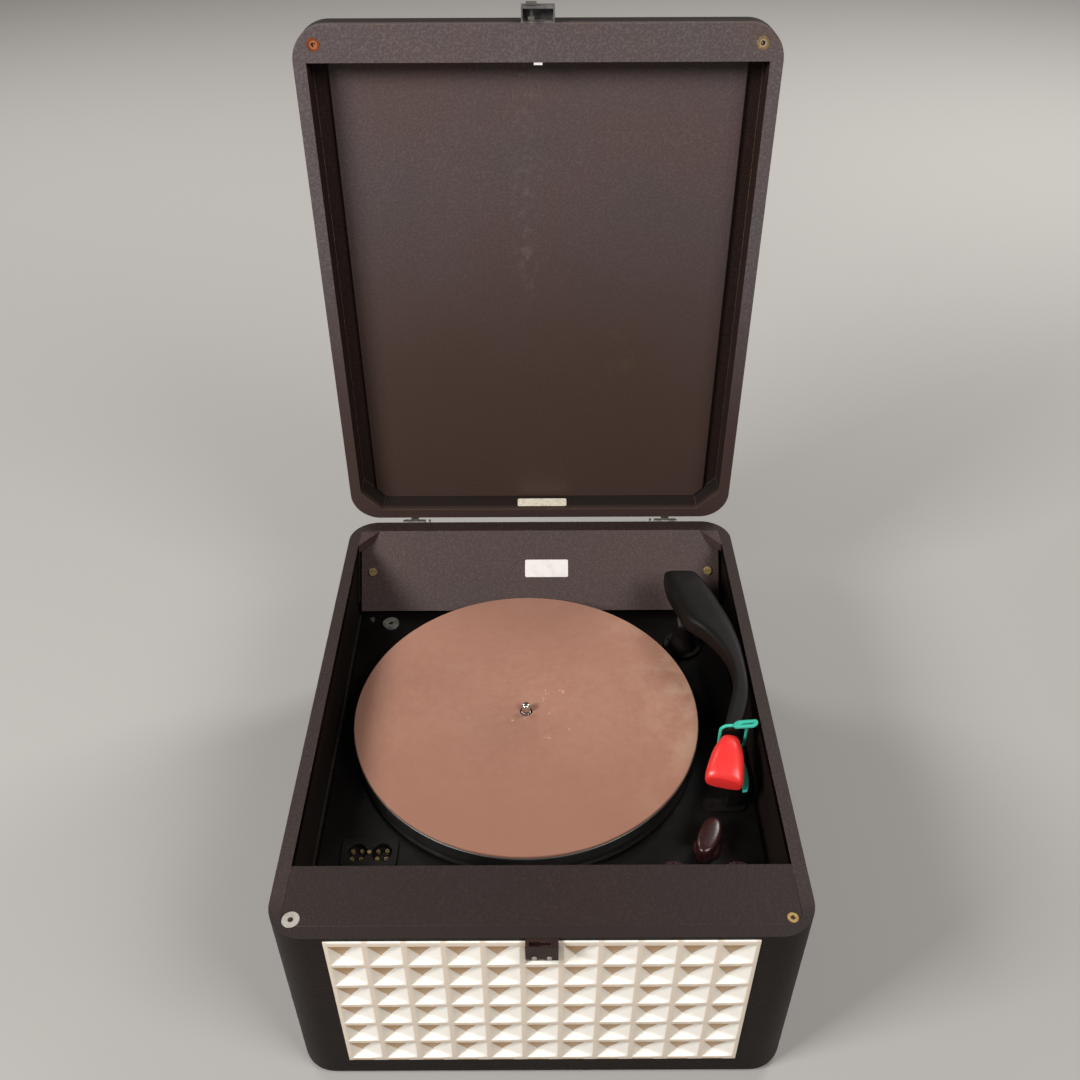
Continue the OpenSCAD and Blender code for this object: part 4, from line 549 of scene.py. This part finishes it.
# node, materials, width of the rounded edges in millimetres
covers = (
    ("case_walls", ("caseCloth", "shade", "paintedLightRimCloth", "clothEdge"), 1.6), ("front_lip_board", ("lipCloth",), 0.5),
    ("partition_board", ("cloth",), 0.6), ("corner_gussets", ("well",), 0.6), ("back_panel", ("well",), 0.5),
    ("lid_shell", ("paintedLightLidCloth", "lidShade", "paintedLightAndWornLidEdge"), 1.4), ("lid_panel", ("paintedLightLidPanel",), 0.8),
    ("latch_strike", ("strike",), 0.35), ("latch_slider", ("dull",), 0.3), ("lid_fittings", ("lidMetals",), 0.2),
    ("hinge_leaves_base", ("dull",), 0.2), ("hinge_leaves_lid", ("dull",), 0.2), ("hinge_pins", ("dull",), 0.25),
    ("deck_plate", ("enamel",), 0.4), ("deck_washers", ("greyRubber",), 0.5), ("deck_screws", ("brownEnamel",), 0.2),
    ("arm_rest", ("phenolic",), 0.6), ("arm_pedestal", ("phenolic",), 0.5), ("selector_block", ("phenolic",), 0.5),
    ("volume_knob", ("knob",), 0.4), ("tone_knob", ("knob",), 0.4), ("feet", ("rubber",), 0.6),
    ("case_trim", ("trim",), 0.08), ("cord_gland", ("rubber",), 0.5), ("back_panel_screws", ("brass",), 0.3))
for node, mats, width in covers:
    softened(node, mats, width, faceGroups.get(node, ()))
print("case and lid covered")

# grille: apexX and apexZ are the deepest point's place from the middle, as shares of the pocket; the brown colour is
# a painted shadow on the pockets' upper facets, and the darker beige gives faint grime clouds and painted shade on
# the bars, rims and left facets
grille = dict(left=-145.0, low=24.5, width=290.0, height=160.0, face=-227.0, thick=9.0, cols=11, rows=6, bar=3.4,
              sideEdge=1.0, lowEdge=2.5, rimSet=0.5, deep=5.0, apexX=-0.17, apexZ=-0.31, corner=2.4, paintedShadowTo=0.45,
              stations=(0.08, 0.2, 0.25, 0.3, 0.45, 0.62, 0.76, 0.88, 0.95, 0.985, 1.0),
              cream=(0.97, 0.93, 0.86), dustFilmAndPaintedShade=(0.46, 0.25, 0.085), dirtAndPaintedShade=(0.72, 0.6, 0.48))


def pocketPitch(g):
    return (g["width"] - 2 * g["sideEdge"]) / g["cols"], (g["height"] - 2 * g["lowEdge"]) / g["rows"]


def pocketDepth(u, v, g):
    # depth over one pocket, u and v from -1 to 1: four sloping sides that meet at an off-centre apex,
    # each side's share counted from its own edge, and the smallest of them wins, softly
    ax, az = 2 * g["apexX"], 2 * g["apexZ"]
    shares = np.stack([(u + 1) / (1 + ax), (1 - u) / (1 - ax), (v + 1) / (1 + az), (1 - v) / (1 - az)])
    # the lower right corner is rounded: its share is a superellipse about the apex
    across, below = np.clip((u - ax) / (1 - ax), 0, 2), np.clip((az - v) / (1 + az), 0, 2)
    corner = 1 - (across ** g["corner"] + below ** g["corner"]) ** (1 / g["corner"])
    shares = np.clip(np.concatenate([shares, corner[None]]), 0, None)
    soft = (np.sum((shares + 1e-4) ** -12.0, 0)) ** (-1 / 12.0)
    return g["deep"] * np.clip(soft, 0, 1)


def buildGrille(g):
    # one sheet over the whole front, y = face + pocketDepth(u, v), with stations close together at the pockets' edges
    stations = np.array(g["stations"])
    inner = np.concatenate([-stations[::-1], stations])
    pitchX, pitchZ = pocketPitch(g)
    halfW, halfH = (pitchX - g["bar"]) / 2, (pitchZ - g["bar"]) / 2
    midX = (np.arange(g["cols"]) - (g["cols"] - 1) / 2) * pitchX
    midZ = g["low"] + g["height"] / 2 + (np.arange(g["rows"]) - (g["rows"] - 1) / 2) * pitchZ
    xs = np.concatenate([[g["left"]], (midX[:, None] + inner * halfW).ravel(), [g["left"] + g["width"]]])
    zs = np.concatenate([[g["low"]], (midZ[:, None] + inner * halfH).ravel(), [g["low"] + g["height"]]])
    # a value of 2 lies outside every pocket
    us, vs = [np.concatenate([[2], np.tile(inner, g[count]), [2]]) for count in ("cols", "rows")]
    u, v = np.meshgrid(us, vs)
    x, z = np.meshgrid(xs, zs)
    inside = (abs(u) <= 1) & (abs(v) <= 1)
    pts = np.stack([x, g["face"] + np.where(inside, pocketDepth(u, v, g), 0), z], -1)
    pts[0, :, 1] += g["rimSet"]
    pts[-1, :, 1] += g["rimSet"]
    pts[:, 0, 1] = pts[:, -1, 1] = g["face"] + g["rimSet"]
    # a border row turns the sheet back at its rim, and a last one draws in to the middle of the back
    back = g["face"] + g["thick"]
    border = ((1, 1), (1, 1), (0, 0))
    pts = np.pad(pts, border, mode="edge")
    pts[0, :, 1] = pts[-1, :, 1] = pts[:, 0, 1] = pts[:, -1, 1] = back
    pts = np.pad(pts, border, mode="edge")
    pts[0] = pts[-1] = pts[:, 0] = pts[:, -1] = (g["left"] + g["width"] / 2, back, g["low"] + g["height"] / 2)
    surface("grille_sheet", pts, nodeBody("grille"), ("cream",), ("grille",), smooth=28)


look["cream"] = pocketPlastic("creamPlastic", grille)
buildGrille(grille)
print("grille made")

# turntable: profiles are (radius, height), and ringWave is in radians per metre; the mat's front and behind colours
# are painted shade and painted light
table = dict(x=-12.5, y=12.0, radius=147.0, topZ=144.5, lowZ=125.0, webZ=142.5, hubZ=128.1, hubR=13.0, boreR=4.1,
             rimInside=143.0, matTop=147.5, matInset=0.6, matBore=5.4, pinR=3.55, pinTop=156.3, ringWave=2600.0,
             dull=(0.287, 0.138, 0.094), bloom=(0.32, 0.161, 0.113), mottled=(0.39, 0.225, 0.165),
             patch=(0.44, 0.3, 0.21), stain=(0.24, 0.115, 0.08), chalk=(0.66, 0.52, 0.42), chip=(0.6, 0.42, 0.2),
             front=(0.225, 0.105, 0.069), behind=(0.4, 0.2, 0.14))


def buildTurntable(t):
    centre, rim, top, low, bore = (t["x"], t["y"]), t["radius"], t["topZ"], t["lowZ"], t["boreR"]
    # pressed rim with a rounded top, a groove low on its side and a rolled lower edge, and a hub inside
    pressing = [(bore, t["hubZ"]), (bore, top)] + arc(rim - 1.2, top - 1.2, 1.2, 90, 20, 5)
    pressing += [(rim - 0.06, top - 3), (rim, top - 7)]
    pressing += [(rim, 131), (rim - 0.5, 130.4), (rim - 0.5, 129.2), (rim, 128.6)]
    pressing += arc(rim - 0.8, low + 0.8, 0.8, 0, -90, 4) + arc(t["rimInside"] + 0.6, low + 0.6, 0.6, -90, -180, 4)
    pressing += [(t["rimInside"], t["webZ"]), (t["hubR"], t["webZ"]), (t["hubR"], t["hubZ"])]
    lathe("platter_pressing", pressing, centre, "turntable", ("platter",), ("platter",), 256)
    matR, matTop, matLow = rim - t["matInset"], t["matTop"], top + 0.02
    disc = [(t["matBore"], matLow), (t["matBore"], matTop - 0.3), (t["matBore"] + 0.4, matTop)]
    disc += arc(matR - 1.1, matTop - 1.1, 1.1, 90, 0, 6) + [(matR, matLow + 0.5), (matR - 0.5, matLow)]
    lathe("mat_disc", disc, centre, "turntable", ("mat",), ("platter_mat",), 256)
    # bearing shaft, shoulder in the platter's bore, and the pin with its rounded tip
    pin = [(0, 94.1), (5, 94.1), (5, 128), (4.05, 128), (4.05, matTop - 0.3), (t["pinR"], matTop)]
    pin += [(t["pinR"], 153.6)] + arc(1.6, 154.0, 1.95, 10, 80, 6) + [(0, t["pinTop"])]
    lathe("record_pin", pin, centre, "turntable", ("bright",), ("spindle",), 48)


look["mat"] = matRubber("matRubber", table)
buildTurntable(table)
print("turntable made")

# arm: each row is y, left, right, low, high about the top of its pivot, and the hollow is cut from rows 8 to 12
arm = dict(x=134.0, y=116.0, top=191.0, power=4.2, rings=90, points=72, rows=[
    [-152, 12.8, 25.8, -24, -14], [-144, 15.8, 28.8, -22.5, -13], [-136, 18.2, 32.8, -20, -11],
    [-122, 22.8, 37.6, -18, -8], [-108, 26.6, 39.4, -17, -5], [-94, 27.2, 39.6, -17, -3],
    [-78, 24.6, 39.2, -17, -2], [-62, 18, 38.5, -18, -1], [-46, 8, 36.5, -19, -0.5],
    [-32, -4, 34, -20, 0], [-12, -11, 28.5, -21, 0], [10, -17, 21.5, -21, 0],
    [29, -18.5, 13, -20, -0.6], [33, -17, 10, -18, -3]],
    ends=((0, 0.8), (-1, 0.72), (-2, 0.93)),
    hollow=dict(rows=(8, 13), power=9, rings=24, points=48, wall=2.4, below=9))


def armSections(a, rows, power, rings, points, wall=0.0, below=0.0):
    # a superellipse in each ring's XZ plane, whose middle and half sizes follow a smooth curve through the rows
    r = smoothRows(rows, rings)
    c, s = boxy(power, points)
    mid, half = (r[:, 1] + r[:, 2]) / 2, (r[:, 2] - r[:, 1]) / 2 - wall
    low, high = r[:, 3] - below, r[:, 4] - wall
    pts = np.empty((rings, points, 3))
    pts[..., 0] = a["x"] + mid[:, None] + half[:, None] * c
    pts[..., 1] = a["y"] + r[:, :1]
    pts[..., 2] = a["top"] + ((low + high) / 2)[:, None] + ((high - low) / 2)[:, None] * s
    return pts


def buildArm(a):
    outer = armSections(a, a["rows"], a["power"], a["rings"], a["points"])
    for k, share in a["ends"]:  # the last rings draw in to round the ends off
        mid = outer[k].mean(0)
        outer[k] = mid + (outer[k] - mid) * np.array([share, 1, share])
    shell = surface("arm_moulding", outer, "tonearm", ("phenolic",), ("tonearm_shell",),
                    closeV=True, ends=True, smooth=50)
    h = a["hollow"]
    inner = armSections(a, a["rows"][slice(*h["rows"])], h["power"], h["rings"], h["points"], h["wall"], h["below"])
    cutter = surface("arm_hollow_cutter", inner[1:-1], "tonearm", ("phenolic",), (),
                     closeV=True, ends=True)
    cut = shell.modifiers.new("hollow", "BOOLEAN")
    cut.operation, cut.solver, cut.object = "DIFFERENCE", "EXACT", cutter
    bpy.context.view_layer.objects.active = shell
    with bpy.context.temp_override(object=shell, active_object=shell):
        bpy.ops.object.modifier_apply(modifier="hollow")
    bpy.data.objects.remove(cutter)


buildArm(arm)

# pick-up head: each row is y, half width, low, high in the head's own axes
head = dict(x=153.6, y=-36.0, low=153.0, turn=14.5, power=3.4, pinch=0.16, rings=60, points=72, rows=[
    [2.2, 4.6, 10.5, 19.4], [3.2, 5.8, 9.2, 20.8], [6, 7.8, 6, 22.6], [11.5, 10.3, 2.6, 23.4], [18, 12.5, 0.8, 22.8],
    [26, 13.9, 0.2, 20.8], [33, 14.8, 0, 18.2], [37.5, 15, 0, 15.9], [39.6, 14.8, 0.1, 14.4], [41, 14.2, 0.3, 12.9],
    [41.7, 13.5, 0.8, 11.8], [41.9, 12.6, 1.5, 10.9]])


def flatTurn(points, angle, place):
    # turned about the upright axis by angle, x' = x cos - y sin and y' = x sin + y cos, and carried to place
    x, y = points[..., 0], points[..., 1]
    out = points + np.array(place, float)
    out[..., 0] = place[0] + x * np.cos(angle) - y * np.sin(angle)
    out[..., 1] = place[1] + x * np.sin(angle) + y * np.cos(angle)
    return out


def buildHead(h):
    # superellipses along the head, each as wide and high as its row, and narrower towards the top by pinch
    r = smoothRows(h["rows"], h["rings"])
    c, s = boxy(h["power"], h["points"])
    pts = np.empty((h["rings"], h["points"], 3))
    pts[..., 0] = r[:, 1:2] * c * (1 - h["pinch"] * np.clip(s, 0, 1) ** 2)
    pts[..., 1] = r[:, :1]
    pts[..., 2] = (r[:, 2:3] + r[:, 3:4]) / 2 + (r[:, 3:4] - r[:, 2:3]) / 2 * s
    placed = flatTurn(pts, radians(180 - h["turn"]), (h["x"], h["y"], h["low"]))
    surface("head_moulding", placed, "tonearm", ("red",), ("pickup_head",), closeV=True, ends=True,
            smooth=50)


buildHead(head)

# transport tie: plate and slot are length, width and middle; its edge is (share from plate to slot, height)
tie = dict(y=-33.8, x=155.6, top=178.9, low=152.4, half=10.5, bend=6.0, strap=1.35, rise=32, swing=-29,
           plate=(22, 8.5, 11), slot=(12.5, 2.4, 13),
           edge=((0, 0.3), (0, 1.7), (0.12, 2.0), (0.88, 2.0), (1, 1.7), (1, 0.3), (0.88, 0), (0.12, 0)),
           tail=((157.6, -33.8), (162.5, -50), (162.8, -66), (160.2, -79)), tailLow=151.8, tailThick=0.95,
           tailHalf=((0, 0.2, 0.85, 1), (1.8, 1.9, 2.6, 1.6)))


def tubeRing(path, outward, radius, sides=12):
    # a round strap: path + radius * (outward cos b + y sin b) along a closed path in the XZ plane
    b = np.linspace(0, 2 * pi, sides, endpoint=False)
    pts = np.empty((len(path), sides, 3))
    pts[..., 0] = path[:, :1] + radius * np.cos(b) * outward[:, :1]
    pts[..., 1] = path[:, 1:2] + radius * np.sin(b)
    pts[..., 2] = path[:, 2:3] + radius * np.cos(b) * outward[:, 1:2]
    return pts


def ovalLine(length, width, mid, n=64):
    # two half circles joined by straight lines, about (mid, 0)
    b, r = np.linspace(0, 2 * pi, n, endpoint=False), width / 2
    return np.stack([np.sign(np.cos(b)) * (length / 2 - r) + r * np.cos(b), r * np.sin(b)], 1) + (mid, 0)


def buildTie(t):
    # loop round the arm's neck: a rectangle with rounded corners
    a = np.radians(np.concatenate([np.linspace(q, q + 90, 9) for q in (0, 90, 180, 270)]))
    corner = np.repeat(np.array([[1, 1], [-1, 1], [-1, -1], [1, -1]]), 9, 0)
    midZ, halfZ = (t["top"] + t["low"]) / 2, (t["top"] - t["low"]) / 2
    path = np.stack([t["x"] + corner[:, 0] * (t["half"] - t["bend"]) + t["bend"] * np.cos(a),
                     np.full(len(a), t["y"]),
                     midZ + corner[:, 1] * (halfZ - t["bend"]) + t["bend"] * np.sin(a)], 1)
    out = np.stack([np.cos(a), np.sin(a)], 1)
    surface("tie_loop", tubeRing(path, out, t["strap"]), "tonearm", ("tie",), ("transport_tie",),
            closeU=True, closeV=True)
    # slotted end plate: an oval band between plate and slot, rising to the right and forwards
    share, z = np.array(t["edge"], float).T
    outer, slot = ovalLine(*t["plate"])[:, None], ovalLine(*t["slot"])[:, None]
    flat = outer * (1 - share)[:, None] + slot * share[:, None]
    up = radians(t["rise"])
    lifted = np.stack([flat[..., 0] * np.cos(up) - z * np.sin(up), flat[..., 1],
                       flat[..., 0] * np.sin(up) + z * np.cos(up)], -1)
    placed = flatTurn(lifted, radians(t["swing"]), (t["x"], t["y"], t["top"]))
    surface("tie_plate", placed, "tonearm", ("tie",), (), closeU=True, closeV=True)
    # tail under the head: a flat strip along a smooth line, wider towards its end
    line = smoothRows(t["tail"], 24)
    half = np.interp(np.linspace(0, 1, 24), *t["tailHalf"])[:, None]
    tail = np.empty((24, 4, 3))
    tail[..., 0] = line[:, :1] + half * np.array([-1, 1, 1, -1])
    tail[..., 1] = line[:, 1:2]
    tail[..., 2] = t["tailLow"] + t["tailThick"] * np.array([0, 0, 1, 1])
    surface("tie_tail", tail, "tonearm", ("tie",), (), closeV=True, ends=True)


buildTie(tie)
print("arm, head and tie made")

# speed knob: levels are (share of the grip's size, height over the base)
knob = dict(x=129.5, y=-110.0, base=122.3, skirt=10.5, shaft=3.0, shaftLow=108.0, length=37.0, width=17.0, turn=66,
            levels=((0.8, 2.6), (0.86, 2.8), (0.9, 3.6), (0.96, 9), (1, 15), (0.99, 17.2), (0.95, 18.6), (0.87, 19.5),
                    (0.7, 20.1), (0.4, 20.4)))


def buildSpeedKnob(k):
    base, shaft = k["base"], k["shaft"]
    skirt = [(0, k["shaftLow"]), (shaft, k["shaftLow"]), (shaft, base), (k["skirt"] + 0.3, base)]
    skirt += arc(k["skirt"], base + 0.7, 0.7, 0, 60, 3) + [(9.7, base + 3.6), (9.1, base + 4.1), (0, base + 4.3)]
    lathe("speed_skirt", skirt, (k["x"], k["y"]), "speed_control", ("knob",), ("speed_knob",), 96)
    # grip: x = length/2 (share/4 + 3/4 share^0.6) |cos b|^0.9 and y = width/2 share sin b, an oval with ends that
    # are a little pointed and a domed top
    b = np.linspace(0, 2 * pi, 96, endpoint=False)
    share, height = [np.array(v, float)[:, None] for v in zip(*k["levels"])]
    pts = np.empty((len(share), len(b), 3))
    pts[..., 0] = k["length"] / 2 * (share * 0.25 + 0.75 * share ** 0.6) * np.sign(np.cos(b)) * abs(np.cos(b)) ** 0.9
    pts[..., 1] = k["width"] / 2 * share * np.sin(b)
    pts[..., 2] = height
    placed = flatTurn(pts, radians(k["turn"]), (k["x"], k["y"], base))
    surface("speed_grip", placed, "speed_control", ("knob",), (), closeV=True, ends=True,
            smooth=50)


buildSpeedKnob(knob)
print("speed knob made")

# CAD nodes that no piece replaces keep their shape and get their finish, and the replaced ones get plain steel
finishes = {
    "wood": ["bottom_panel", "baffle_board"],
    "steel": ["wood_screws", "foot_screws", "speaker_basket", "speaker_magnet", "motor_stack", "motor_brackets",
              "motor_rotor", "idler_post", "idler_arm", "arm_turret", "arm_bracket", "control_bodies",
              "transformers"],
    "bright": ["thrust_ball", "arm_lift_pin", "stylus"],
    "rubber": ["idler_wheel"],
    "brass": ["spindle_bush", "selector_contacts"],
    "speakerCloth": ["grille_cloth"],
    "cone": ["speaker_cone"],
    "copper": ["motor_coil"],
    "aluminium": ["amplifier_chassis"],
    "glass": ["valves"],
    "darkWood": ["case_rails"],
}
finishOf = {node: finish for finish, names in finishes.items() for node in names}
for node, obj in nodes.items():
    obj.data.materials.clear()
    obj.data.materials.append(look[finishOf.get(node, "steel")])
print("finishes given")

# floor, light and camera, in metres: each lamp is power in watts, size, place and target
studio = dict(floor=(0.35, 0.336, 0.322), roughness=0.9, size=14, middle=(0, 2.5, 0), world=0.1,
              sky=(1.0, 0.98, 0.95, 1), lampColor=(1.0, 0.985, 0.96), lamps=(
                  ("keyLeft", 38.0, 0.6, (-1.3, -0.85, 1.4), (0, 0.05, 0.2)),
                  ("keyRight", 20.0, 0.75, (0.9, -0.85, 1.5), (0, 0.05, 0.2)),
                  ("backdropLeft", 50.0, 1.0, (-1.6, 1.6, 2.2), (-0.8, 3.0, 0)),
                  ("backdropRight", 76.0, 1.0, (1.6, 1.6, 2.2), (0.9, 3.0, 0))))
# the camera's turns are in degrees: down from level, to the side and about its own axis
camera = dict(lens=35.545, sensor=36.0, down=38.36, yaw=-0.028, roll=-0.224, place=(-0.0004, -0.6134, 0.829))


def buildStudio(s):
    bpy.ops.mesh.primitive_plane_add(size=s["size"], location=s["middle"])
    floor = bpy.context.object
    floor.name = "studio_floor"
    floor.data.materials.append(Paint("studioPaper").finish(s["floor"], s["roughness"]))
    world = bpy.data.worlds.new("studioWorld")
    bpy.context.scene.world = world
    world.use_nodes = True
    sky = world.node_tree.nodes["Background"]
    sky.inputs[0].default_value = s["sky"]
    sky.inputs[1].default_value = s["world"]
    for name, power, size, spot, target in s["lamps"]:
        lamp = bpy.data.lights.new(name, "AREA")
        lamp.energy, lamp.size, lamp.color = power, size, s["lampColor"]
        obj = bpy.data.objects.new(name, lamp)
        bpy.context.scene.collection.objects.link(obj)
        way = Vector(target) - Vector(spot)
        obj.matrix_world = Matrix.Translation(spot) @ way.to_track_quat("-Z", "Y").to_matrix().to_4x4()


def buildCamera(c):
    cam = bpy.data.cameras.new("photoCamera")
    cam.lens, cam.sensor_width = c["lens"], c["sensor"]
    cam.clip_start, cam.clip_end = 0.02, 30
    obj = bpy.data.objects.new("photoCamera", cam)
    bpy.context.scene.collection.objects.link(obj)
    turns = [Matrix.Rotation(radians(angle), 4, way)
             for angle, way in ((c["yaw"], "Z"), (90 - c["down"], "X"), (c["roll"], "Z"))]
    x, y, z = c["place"]
    obj.matrix_world = Matrix.Translation((x, y + moveY * mm, z)) @ turns[0] @ turns[1] @ turns[2]
    bpy.context.scene.camera = obj


buildStudio(studio)
buildCamera(camera)
bpy.context.scene.view_settings.view_transform = "Standard"
print("studio ready")
